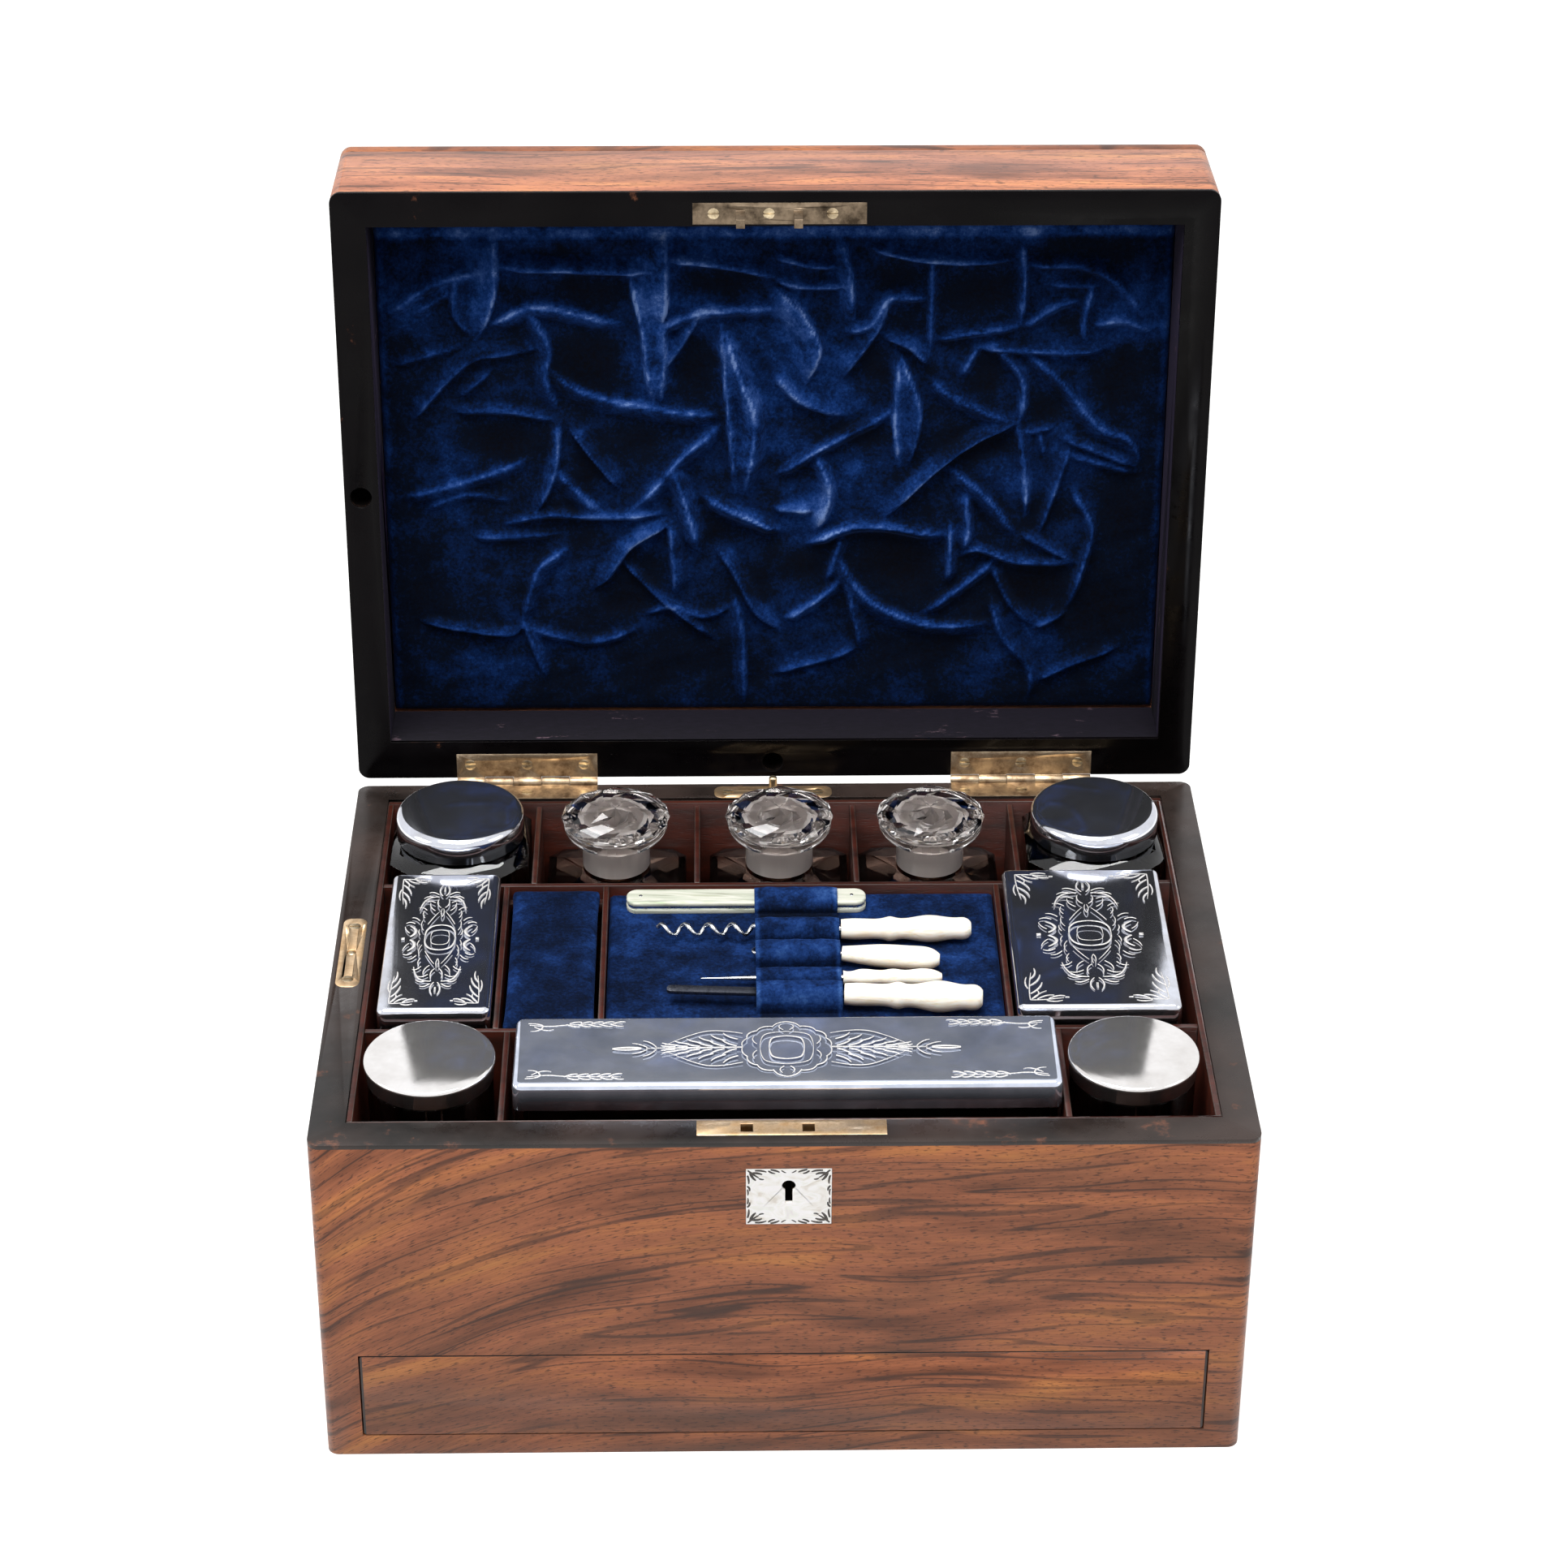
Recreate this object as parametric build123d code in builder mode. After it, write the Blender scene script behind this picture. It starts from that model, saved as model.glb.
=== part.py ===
"""Fitted dressing box: rosewood case with a lid, a drawer and lift-out glass and silver fittings.

Millimetres. X runs to the right, Y to the back, Z up. The origin is the centre of the underside.
The lid stands open against the stops of its hinges; its pieces are drawn as if it were closed, on
a plane that the hinges have turned.
"""
import os
from math import atan2, cos, pi, radians, sin, sqrt, tan

from build123d import *

os.makedirs("parts", exist_ok=True)

# Case: outside size, boards and the banding glued round the rim
WIDTH = 305.0
DEPTH = 225.0
CASE_H = 126.5
LID_H = 51.5
FRONT_T = 12.5
SIDE_T = 11.5
BACK_T = 10.0
BAND_T = 1.5
CORNER_R = 4.0
FRONT = -DEPTH / 2
BACK = DEPTH / 2
BOARD_TOP = CASE_H - BAND_T
INNER_X = WIDTH / 2 - SIDE_T
INNER_FRONT = FRONT + FRONT_T
INNER_BACK = BACK - BACK_T

# Drawer space under the dust board
BASE_T = 8.0
DRAWER_TOP = 41.5
DUST_T = 4.0
FLOOR_Z = DRAWER_TOP + DUST_T
DRAWER_W = 280.6
DRAWER_GAP = 0.35
DRAWER_FRONT_T = 9.0
DRAWER_BOARD_T = 4.5
DRAWER_BOX_H = 30.0
DRAWER_BACK_Y = FRONT + 213.0
DRAWER_BOTTOM_T = 3.0
LINING_T = 1.0

# Lock, catch and escutcheon
LOCK_X = 2.2
LOCK_Y = FRONT + 8.4
LOCK_W = 61.0
LOCK_PLATE_D = 8.2
LOCK_CASE_W = 56.0
LOCK_CASE_H = 24.0
LOCK_WALL = 1.0
HOOK_XS = (-12.2, 7.6)
HOOK_W = 3.0
HOOK_D = 3.2
HOOK_H = 9.0
HOOK_GAP = 0.4
EYE_Z = CASE_H - 5.5
EYE_H = 3.4
BOLT_T = 1.6
BOLT_FOOT = 111.5
REST_W = 3.0
REST_H = 2.0
BOLT_THROW = 3.2
KEY_X = 1.2
KEY_Z = 109.4
KEY_R = 2.2
KEY_SLOT_W = 2.4
KEY_SLOT_H = 6.6
ESCUTCHEON_W = 27.6
ESCUTCHEON_H = 22.0
ESCUTCHEON_T = 1.2
ESCUTCHEON_Z = 105.3

# Hinges
PIVOT_Y = BACK + 2.0
PIVOT_Z = CASE_H
OPEN_ANGLE = 92.8
HINGE_XS = (-90.8, 90.4)
HINGE_W = 51.5
LEAF_D = 9.7
KNUCKLE_R = 2.0
KNUCKLE_GAP = 0.15
KNUCKLES = 5
HINGE_PIN_R = 0.8
HINGE_PIN_PLAY = 0.05
LEAF_RELIEF = 0.3

# Screws
SCREW_R = 1.0
SCREW_HEAD_R = 2.0
SCREW_L = 8.0
SCREW_SLOT_W = 0.5
SCREW_SLOT_H = 0.4

# Pins that stand in the rim, and their plates
PIN_R = 1.5
PIN_PLAY = 0.1
PIN_TRAVEL = 6.5
BACK_PIN = (-0.8, FRONT + 219.2)
SIDE_PIN = (-146.7, FRONT + 113.0)
PIN_PLATE_L = 43.0
PIN_PLATE_W = 8.2
PIN_PLATE_R = 3.0
PLATE_SCREW_X = 16.5
LID_PIN_HOLE_R = 3.9
LID_PIN_HOLE_H = 9.0
STAPLE_Z = 36.0
STAPLE_T = 2.0
STAPLE_EYE = 4.6
STAPLE_ARM = 2.5
STAPLE_PLATE_W = 18.0
STAPLE_PLATE_H = 10.0
STAPLE_PLATE_T = 1.2
STAPLE_SLOT_W = 11.0
STAPLE_SLOT_H = 5.0
STAPLE_SLOT_D = 8.4

# Liner, partitions and the places of the fittings
LINER_T = 2.0
LINER_TOP = CASE_H - 1.0
WALL_T = 2.0
WALL_TOP = CASE_H - 2.0
CELL_X = INNER_X - LINER_T
CELL_FRONT = INNER_FRONT + LINER_T
CELL_BACK = INNER_BACK - LINER_T
FRONT_ROW = FRONT + 68.0
BACK_ROW = FRONT + 159.0
BACK_DIVIDERS = (-86.0, -28.5, 28.0, 85.5)
MIDDLE_DIVIDERS = (-95.5, -60.5, 77.0)
FRONT_DIVIDERS = (-91.5, 92.0)
LEDGE_W = 3.0
LEDGE_H = 4.0

# Lid
LID_FRONT_T = 11.3
LID_SIDE_T = 11.1
LID_BACK_T = 13.7
LID_TOP_T = 8.0
LID_TOP_R = 3.0
RECESS_D = 25.5
PANEL_T = 6.0


def write_piece(piece, label):
    """Label one finished piece and write its STEP file."""
    piece.label = label
    export_step(piece, f"parts/{label}.step")


def write_group(pieces, label):
    """Write like pieces that stay separate solids under one name."""
    write_piece(Compound(children=[piece.part for piece in pieces]), label)


def board(x0, x1, y0, y1, z0, z1, base=Plane.XY):
    """A plain board between two corners."""
    with BuildPart() as plank:
        with BuildSketch(base.offset(z0)):
            with Locations(((x0 + x1) / 2, (y0 + y1) / 2)):
                Rectangle(x1 - x0, y1 - y0)
        extrude(amount=z1 - z0)
    return plank


def bore(base, place, z, radius, depth):
    """Bore a hole down from height z into the part being built."""
    with BuildSketch(base.offset(z)) as mouth:
        with Locations(place):
            Circle(radius)
    extrude(mouth.sketch, amount=-depth, mode=Mode.SUBTRACT)


def countersink(base, place, face, back):
    """Cut the cone that a screw head sits in, from the face to the back of a plate."""
    with BuildSketch(base.offset(face)) as wide:
        with Locations(place):
            Circle(SCREW_HEAD_R)
    with BuildSketch(base.offset(back)) as narrow:
        with Locations(place):
            Circle(SCREW_R)
    loft([wide.sketch, narrow.sketch], mode=Mode.SUBTRACT)


# The lid's plane: closed coordinates, turned open about the hinge pins
turned_open = Location((0, PIVOT_Y, PIVOT_Z), (-OPEN_ANGLE, 0, 0)) * Location((0, -PIVOT_Y, -PIVOT_Z))
LID = Plane(turned_open)
LID_BOARD = CASE_H + BAND_T
LID_TOP = CASE_H + LID_H

# Screw places: three in each hinge leaf, two in each pin plate, three in the catch plate
hinge_screw_y = BACK - 5.2
hinge_screws = [(x + dx, hinge_screw_y) for x in HINGE_XS for dx in (-20.8, 0.0, 20.8)]
back_plate_screws = [(BACK_PIN[0] + dx, BACK_PIN[1]) for dx in (-PLATE_SCREW_X, PLATE_SCREW_X)]
side_plate_screws = [(SIDE_PIN[0], SIDE_PIN[1] + dy) for dy in (-PLATE_SCREW_X, PLATE_SCREW_X)]
catch_screws = [(x, FRONT + 7.8) for x in (-21.4, -2.4, 19.4)]


# ---- Case boards ----

with BuildPart() as case_front:
    with BuildSketch():
        with Locations((0, FRONT + FRONT_T / 2)):
            Rectangle(WIDTH, FRONT_T)
    extrude(amount=BOARD_TOP)
    fillet(case_front.edges().filter_by(Axis.Z).group_by(Axis.Y)[0], CORNER_R)
    with BuildSketch(Plane.XZ.offset(-FRONT)):
        with Locations((0, (BASE_T + DRAWER_TOP) / 2)):
            Rectangle(DRAWER_W, DRAWER_TOP - BASE_T)
        with Locations((KEY_X, KEY_Z)):
            Circle(KEY_R)
        with Locations((KEY_X, KEY_Z - KEY_SLOT_H / 2)):
            Rectangle(KEY_SLOT_W, KEY_SLOT_H)
    extrude(amount=-FRONT_T, mode=Mode.SUBTRACT)
    with BuildSketch(Plane.XZ.offset(-FRONT)):
        with Locations((KEY_X, ESCUTCHEON_Z)):
            Rectangle(ESCUTCHEON_W, ESCUTCHEON_H)
    extrude(amount=-ESCUTCHEON_T, mode=Mode.SUBTRACT)
    lock_front = LOCK_Y - 3.6
    with BuildSketch(Plane.XY.offset(BOARD_TOP)):
        with Locations((LOCK_X, (lock_front + INNER_FRONT) / 2)):
            Rectangle(LOCK_CASE_W, INNER_FRONT - lock_front)
    extrude(amount=-LOCK_CASE_H, mode=Mode.SUBTRACT)
write_piece(case_front.part, "case_front")

with BuildPart() as case_back:
    with BuildSketch():
        with Locations((0, BACK - BACK_T / 2)):
            Rectangle(WIDTH, BACK_T)
    extrude(amount=BOARD_TOP)
    fillet(case_back.edges().filter_by(Axis.Z).group_by(Axis.Y)[-1], CORNER_R)
    bore(Plane.XY, BACK_PIN, BOARD_TOP, PIN_R + PIN_PLAY, BOARD_TOP - STAPLE_Z + 5)
    for place in hinge_screws + back_plate_screws:
        bore(Plane.XY, place, BOARD_TOP, SCREW_R, SCREW_L - BAND_T)
    with BuildSketch(Plane.XZ.offset(-INNER_BACK)):
        with Locations((BACK_PIN[0], STAPLE_Z)):
            Rectangle(STAPLE_SLOT_W, STAPLE_SLOT_H)
    extrude(amount=-STAPLE_SLOT_D, mode=Mode.SUBTRACT)
write_piece(case_back.part, "case_back")

with BuildPart() as left_side:
    with BuildSketch():
        with Locations((-WIDTH / 2 + SIDE_T / 2, (INNER_FRONT + INNER_BACK) / 2)):
            Rectangle(SIDE_T, INNER_BACK - INNER_FRONT)
    extrude(amount=BOARD_TOP)
    bore(Plane.XY, SIDE_PIN, BOARD_TOP, PIN_R + PIN_PLAY, 60)
    for place in side_plate_screws:
        bore(Plane.XY, place, BOARD_TOP, SCREW_R, SCREW_L - BAND_T)
right_side = board(INNER_X, WIDTH / 2, INNER_FRONT, INNER_BACK, 0, BOARD_TOP)
write_group([left_side, right_side], "case_sides")

base_board = board(-INNER_X, INNER_X, INNER_FRONT, INNER_BACK, 0, BASE_T)
dust_board = board(-INNER_X, INNER_X, INNER_FRONT, INNER_BACK, DRAWER_TOP, FLOOR_Z)
write_group([base_board, dust_board], "base_boards")


# ---- Banding round a rim: four mitred strips, cut round what is let into them ----

def rim_strips(base, z, inner_x, inner_front, inner_back, plates, holes):
    """Four mitred strips on one rim; plates are (x, y, width, depth, corner radius)."""
    outer = [(-WIDTH / 2, FRONT), (WIDTH / 2, FRONT), (WIDTH / 2, BACK), (-WIDTH / 2, BACK)]
    inner = [(-inner_x, inner_front), (inner_x, inner_front), (inner_x, inner_back), (-inner_x, inner_back)]
    strips = []
    for corner in range(4):
        following = (corner + 1) % 4
        with BuildPart() as strip:
            with BuildSketch(base.offset(z)):
                Polygon(outer[corner], outer[following], inner[following], inner[corner], align=None)
                RectangleRounded(WIDTH, DEPTH, CORNER_R, mode=Mode.INTERSECT)
                for x, y, width, depth, radius in plates:
                    with Locations((x, y)):
                        if radius:
                            RectangleRounded(width, depth, radius, mode=Mode.SUBTRACT)
                        else:
                            Rectangle(width, depth, mode=Mode.SUBTRACT)
                for place, radius in holes:
                    with Locations(place):
                        Circle(radius, mode=Mode.SUBTRACT)
            extrude(amount=BAND_T)
        strips.append(strip)
    return strips


leaf_cut_d = LEAF_D + 2
leaf_cuts = [(x, BACK - LEAF_D + leaf_cut_d / 2, HINGE_W, leaf_cut_d, 0) for x in HINGE_XS]
back_plate_cut = (BACK_PIN[0], BACK_PIN[1], PIN_PLATE_L, PIN_PLATE_W, PIN_PLATE_R)
side_plate_cut = (SIDE_PIN[0], SIDE_PIN[1], PIN_PLATE_W, PIN_PLATE_L, PIN_PLATE_R)
lock_cut = (LOCK_X, LOCK_Y, LOCK_W, LOCK_PLATE_D, 0)
case_cuts = leaf_cuts + [back_plate_cut, side_plate_cut, lock_cut]
case_rim = rim_strips(Plane.XY, BOARD_TOP, INNER_X, INNER_FRONT, INNER_BACK, case_cuts, [])
write_group(case_rim, "case_rim")


# ---- Lock with its plate, bolt and escutcheon ----

with BuildPart() as lock_case:
    with BuildSketch(Plane.XY.offset(BOARD_TOP - LOCK_CASE_H)):
        with Locations((LOCK_X, (lock_front + INNER_FRONT) / 2)):
            Rectangle(LOCK_CASE_W, INNER_FRONT - lock_front)
    extrude(amount=LOCK_CASE_H)
    with BuildSketch(Plane.XY.offset(BOARD_TOP - LOCK_CASE_H + LOCK_WALL)):
        with Locations((LOCK_X, (lock_front + INNER_FRONT) / 2)):
            Rectangle(LOCK_CASE_W - 2 * LOCK_WALL, INNER_FRONT - lock_front - 2 * LOCK_WALL)
    extrude(amount=LOCK_CASE_H - LOCK_WALL, mode=Mode.SUBTRACT)
    with BuildSketch(Plane.XY.offset(BOARD_TOP)):
        with Locations((LOCK_X, LOCK_Y)):
            Rectangle(LOCK_W, LOCK_PLATE_D)
        with Locations(*[(x, LOCK_Y) for x in HOOK_XS]):
            Rectangle(HOOK_W + 1.0, HOOK_D + 1.2, mode=Mode.SUBTRACT)
    extrude(amount=BAND_T)
    with BuildSketch(Plane.XZ.offset(-lock_front)):
        with Locations((KEY_X, KEY_Z)):
            Circle(KEY_R)
        with Locations((KEY_X, KEY_Z - KEY_SLOT_H / 2)):
            Rectangle(KEY_SLOT_W, KEY_SLOT_H)
    extrude(amount=-LOCK_WALL, mode=Mode.SUBTRACT)
    # the two rests that the bolt slides on, from wall to wall
    with BuildSketch(Plane.XZ.offset(-lock_front)):
        with Locations((LOCK_X - 18, BOLT_FOOT - REST_H / 2), (LOCK_X + 12, BOLT_FOOT - REST_H / 2)):
            Rectangle(REST_W, REST_H)
    extrude(amount=-(INNER_FRONT - lock_front))
write_piece(lock_case.part, "lock_case")

with BuildPart() as lock_bolt:
    window_left = HOOK_W / 2 + HOOK_GAP + BOLT_THROW + 0.4
    window_w = window_left + HOOK_W / 2 + HOOK_GAP
    window_foot = CASE_H - HOOK_H - HOOK_GAP
    bolt_top = BOARD_TOP - 0.8
    finger_w = BOLT_THROW + 0.4
    with BuildSketch(Plane.XZ.offset(-(LOCK_Y - BOLT_T / 2))):
        with Locations((LOCK_X - 4, (BOLT_FOOT + bolt_top) / 2)):
            Rectangle(38, bolt_top - BOLT_FOOT)
        for x in HOOK_XS:
            with Locations((x - window_left + window_w / 2, (window_foot + bolt_top) / 2)):
                Rectangle(window_w, bolt_top - window_foot, mode=Mode.SUBTRACT)
            with Locations((x - window_left + finger_w / 2, EYE_Z)):
                Rectangle(finger_w, EYE_H - 2 * HOOK_GAP)
        with Locations((KEY_X, BOLT_FOOT)):
            Rectangle(4.5, 3, mode=Mode.SUBTRACT)
    extrude(amount=-BOLT_T)
write_piece(lock_bolt.part, "lock_bolt")

with BuildPart() as escutcheon:
    with BuildSketch(Plane.XZ.offset(-FRONT)):
        with Locations((KEY_X, ESCUTCHEON_Z)):
            Rectangle(ESCUTCHEON_W, ESCUTCHEON_H)
        with Locations((KEY_X, KEY_Z)):
            Circle(KEY_R, mode=Mode.SUBTRACT)
        with Locations((KEY_X, KEY_Z - KEY_SLOT_H / 2)):
            Rectangle(KEY_SLOT_W, KEY_SLOT_H, mode=Mode.SUBTRACT)
    extrude(amount=-ESCUTCHEON_T)
write_piece(escutcheon.part, "escutcheon")


# ---- Hinges: leaves with alternate knuckles on one pin ----

knuckle_pitch = HINGE_W / KNUCKLES


def hinge_leaf(base, x, face, back, mine, bore_r):
    """A leaf let into one rim, carrying the knuckles numbered in mine."""
    with BuildPart() as leaf:
        with BuildSketch(base.offset(face)):
            with Locations((x, BACK - LEAF_D / 2)):
                Rectangle(HINGE_W, LEAF_D)
            for number in range(KNUCKLES):
                middle = x + (number - (KNUCKLES - 1) / 2) * knuckle_pitch
                if number in mine:
                    with Locations((middle, (BACK + PIVOT_Y) / 2)):
                        Rectangle(knuckle_pitch - KNUCKLE_GAP, PIVOT_Y - BACK)
                else:
                    with Locations((middle, BACK)):
                        Rectangle(knuckle_pitch + KNUCKLE_GAP, 2 * LEAF_RELIEF, mode=Mode.SUBTRACT)
        extrude(amount=back - face)
        for number in mine:
            start = x + (number - KNUCKLES / 2) * knuckle_pitch + KNUCKLE_GAP / 2
            with BuildSketch(Plane.YZ.offset(start)):
                with Locations((PIVOT_Y, PIVOT_Z)):
                    Circle(KNUCKLE_R)
            extrude(amount=knuckle_pitch - KNUCKLE_GAP)
        with BuildSketch(Plane.YZ.offset(x - HINGE_W / 2)):
            with Locations((PIVOT_Y, PIVOT_Z)):
                Circle(bore_r)
        extrude(amount=HINGE_W, mode=Mode.SUBTRACT)
        for dx in (-20.8, 0.0, 20.8):
            countersink(base, (x + dx, hinge_screw_y), face, back)
    return leaf


case_knuckles = ((1, 3), (0, 2, 4))
lid_knuckles = ((0, 2, 4), (1, 3))
loose = HINGE_PIN_R + HINGE_PIN_PLAY
case_leaves = [
    hinge_leaf(Plane.XY, x, CASE_H, BOARD_TOP, mine, HINGE_PIN_R) for x, mine in zip(HINGE_XS, case_knuckles)
]
lid_leaves = [
    hinge_leaf(LID, x, CASE_H, LID_BOARD, mine, loose) for x, mine in zip(HINGE_XS, lid_knuckles)
]
hinge_pins = []
for x in HINGE_XS:
    with BuildPart() as hinge_pin:
        with BuildSketch(Plane.YZ.offset(x - HINGE_W / 2)):
            with Locations((PIVOT_Y, PIVOT_Z)):
                Circle(HINGE_PIN_R)
        extrude(amount=HINGE_W)
    hinge_pins.append(hinge_pin)
write_group(case_leaves + hinge_pins, "hinge_leaves_case")
write_group(lid_leaves, "hinge_leaves_lid")


# ---- Screws, pin plates and the two pins ----

def screw(base, place, face, way):
    """A slotted countersunk screw, its head flush with the face and its shank along way (-1 or 1)."""
    with BuildPart() as fastener:
        with BuildSketch(base.offset(face)):
            with Locations(place):
                Circle(SCREW_HEAD_R)
        with BuildSketch(base.offset(face + way * BAND_T)):
            with Locations(place):
                Circle(SCREW_R)
        loft()
        with BuildSketch(base.offset(face + way * BAND_T)):
            with Locations(place):
                Circle(SCREW_R)
        extrude(amount=way * (SCREW_L - BAND_T))
        with BuildSketch(base.offset(face)):
            with Locations(place):
                Rectangle(2 * SCREW_HEAD_R, SCREW_SLOT_W)
        extrude(amount=way * SCREW_SLOT_H, mode=Mode.SUBTRACT)
    return fastener


case_screw_places = hinge_screws + back_plate_screws + side_plate_screws
write_group([screw(Plane.XY, place, CASE_H, -1) for place in case_screw_places], "case_screws")
write_group([screw(LID, place, CASE_H, 1) for place in hinge_screws + catch_screws], "lid_screws")


def pin_plate(place, width, depth, screws):
    """A round-cornered brass plate with a hole for its pin."""
    with BuildPart() as plate:
        with BuildSketch(Plane.XY.offset(BOARD_TOP)):
            with Locations(place):
                RectangleRounded(width, depth, PIN_PLATE_R)
                Circle(PIN_R + PIN_PLAY, mode=Mode.SUBTRACT)
        extrude(amount=BAND_T)
        for screw_place in screws:
            countersink(Plane.XY, screw_place, CASE_H, BOARD_TOP)
    return plate


pin_plates = [
    pin_plate(BACK_PIN, PIN_PLATE_L, PIN_PLATE_W, back_plate_screws),
    pin_plate(SIDE_PIN, PIN_PLATE_W, PIN_PLATE_L, side_plate_screws),
]
write_group(pin_plates, "pin_plates")


def rim_pin(place, foot, head):
    """A brass rod with a rounded head."""
    with BuildPart() as rod:
        with BuildSketch(Plane.XY.offset(foot)):
            with Locations(place):
                Circle(PIN_R)
        extrude(amount=head - foot)
        fillet(rod.edges().group_by(Axis.Z)[-1], PIN_R * 0.6)
    return rod


back_pin = rim_pin(BACK_PIN, STAPLE_Z + STAPLE_T / 2 + 2.5, CASE_H + PIN_TRAVEL)
write_piece(back_pin.part, "back_pin")
side_pin = rim_pin(SIDE_PIN, BOARD_TOP - 58, CASE_H)
write_piece(side_pin.part, "side_pin")


# ---- Liner, partitions, raised floors and ledges ----

liner = [
    board(-INNER_X, INNER_X, INNER_FRONT, CELL_FRONT, FLOOR_Z, LINER_TOP),
    board(-INNER_X, INNER_X, CELL_BACK, INNER_BACK, FLOOR_Z, LINER_TOP),
    board(-INNER_X, -CELL_X, CELL_FRONT, CELL_BACK, FLOOR_Z, LINER_TOP),
    board(CELL_X, INNER_X, CELL_FRONT, CELL_BACK, FLOOR_Z, LINER_TOP),
]
write_group(liner, "liner_boards")

half_wall = WALL_T / 2
partitions = [
    board(-CELL_X, CELL_X, row - half_wall, row + half_wall, FLOOR_Z, WALL_TOP) for row in (FRONT_ROW, BACK_ROW)
]
rows = (
    (FRONT_DIVIDERS, CELL_FRONT, FRONT_ROW - half_wall),
    (MIDDLE_DIVIDERS, FRONT_ROW + half_wall, BACK_ROW - half_wall),
    (BACK_DIVIDERS, BACK_ROW + half_wall, CELL_BACK),
)
for dividers, y0, y1 in rows:
    for x in dividers:
        partitions.append(board(x - half_wall, x + half_wall, y0, y1, FLOOR_Z, WALL_TOP))

# Cells as (left, right, front, back) between the faces of their walls
long_cell = (FRONT_DIVIDERS[0] + half_wall, FRONT_DIVIDERS[1] - half_wall, CELL_FRONT, FRONT_ROW - half_wall)
left_cell = (-CELL_X, MIDDLE_DIVIDERS[0] - half_wall, FRONT_ROW + half_wall, BACK_ROW - half_wall)
pad_cell = (MIDDLE_DIVIDERS[0] + half_wall, MIDDLE_DIVIDERS[1] - half_wall, left_cell[2], left_cell[3])
tool_cell = (MIDDLE_DIVIDERS[1] + half_wall, MIDDLE_DIVIDERS[2] - half_wall, left_cell[2], left_cell[3])
right_cell = (MIDDLE_DIVIDERS[2] + half_wall, CELL_X, left_cell[2], left_cell[3])
SIDE_BOX_FOOT = 70.0
LONG_BOX_FOOT = 88.0
TOOL_BOARD_FOOT = 116.5
PAD_FOOT = 119.0
FLOOR_T = 3.0
raised = [
    board(*long_cell, LONG_BOX_FOOT - FLOOR_T, LONG_BOX_FOOT),
    board(*left_cell, SIDE_BOX_FOOT - FLOOR_T, SIDE_BOX_FOOT),
    board(*right_cell, SIDE_BOX_FOOT - FLOOR_T, SIDE_BOX_FOOT),
]
for cell, foot in ((tool_cell, TOOL_BOARD_FOOT), (pad_cell, PAD_FOOT)):
    raised.append(board(cell[0], cell[1], cell[2], cell[2] + LEDGE_W, foot - LEDGE_H, foot))
    raised.append(board(cell[0], cell[1], cell[3] - LEDGE_W, cell[3], foot - LEDGE_H, foot))
write_group(partitions + raised, "compartment_boards")


# ---- Drawer ----

with BuildPart() as drawer_front:
    with BuildSketch(Plane.XZ.offset(-FRONT)):
        with Locations((0, (BASE_T + DRAWER_TOP) / 2)):
            Rectangle(DRAWER_W - 2 * DRAWER_GAP, DRAWER_TOP - BASE_T - 2 * DRAWER_GAP)
    extrude(amount=-DRAWER_FRONT_T)
write_piece(drawer_front.part, "drawer_front")

drawer_x = DRAWER_W / 2 - 1.0
drawer_y0 = FRONT + DRAWER_FRONT_T
drawer_z1 = BASE_T + DRAWER_BOX_H
inside_x = drawer_x - DRAWER_BOARD_T
drawer_box = [
    board(-drawer_x, -inside_x, drawer_y0, DRAWER_BACK_Y, BASE_T, drawer_z1),
    board(inside_x, drawer_x, drawer_y0, DRAWER_BACK_Y, BASE_T, drawer_z1),
    board(-inside_x, inside_x, DRAWER_BACK_Y - DRAWER_BOARD_T, DRAWER_BACK_Y, BASE_T, drawer_z1),
    board(-inside_x, inside_x, drawer_y0, DRAWER_BACK_Y - DRAWER_BOARD_T, BASE_T, BASE_T + DRAWER_BOTTOM_T),
]
write_group(drawer_box, "drawer_box")

lining_z = BASE_T + DRAWER_BOTTOM_T
drawer_lining = board(
    -inside_x, inside_x, drawer_y0, DRAWER_BACK_Y - DRAWER_BOARD_T, lining_z, lining_z + LINING_T
)
write_piece(drawer_lining.part, "drawer_lining")

# the staple: a plate screwed to the drawer's back, with a square eye that the pin drops through
with BuildPart() as drawer_staple:
    with BuildSketch(Plane.XZ.offset(-DRAWER_BACK_Y)):
        with Locations((BACK_PIN[0], drawer_z1 - STAPLE_PLATE_H / 2)):
            Rectangle(STAPLE_PLATE_W, STAPLE_PLATE_H)
    extrude(amount=-STAPLE_PLATE_T)
    lug_w = STAPLE_EYE + 2 * STAPLE_ARM
    lug_y1 = BACK_PIN[1] + STAPLE_EYE / 2 + 1.2
    with BuildSketch(Plane.XY.offset(STAPLE_Z - STAPLE_T / 2)):
        with Locations((BACK_PIN[0], (DRAWER_BACK_Y + lug_y1) / 2)):
            Rectangle(lug_w, lug_y1 - DRAWER_BACK_Y)
        with Locations(BACK_PIN):
            Rectangle(STAPLE_EYE, STAPLE_EYE, mode=Mode.SUBTRACT)
    extrude(amount=STAPLE_T)
write_piece(drawer_staple.part, "drawer_staple")


# ---- Lid boards, banding and lining ----

lid_inner_x = WIDTH / 2 - LID_SIDE_T
lid_inner_front = FRONT + LID_FRONT_T
lid_inner_back = BACK - LID_BACK_T
rail_top = LID_TOP - LID_TOP_T

with BuildPart() as lid_top:
    with BuildSketch(LID.offset(rail_top)):
        RectangleRounded(WIDTH, DEPTH, CORNER_R)
    extrude(amount=LID_TOP_T)
    fillet(lid_top.edges().group_by(Axis(LID.origin, LID.z_dir))[-1], LID_TOP_R)
write_piece(lid_top.part, "lid_top")


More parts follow.
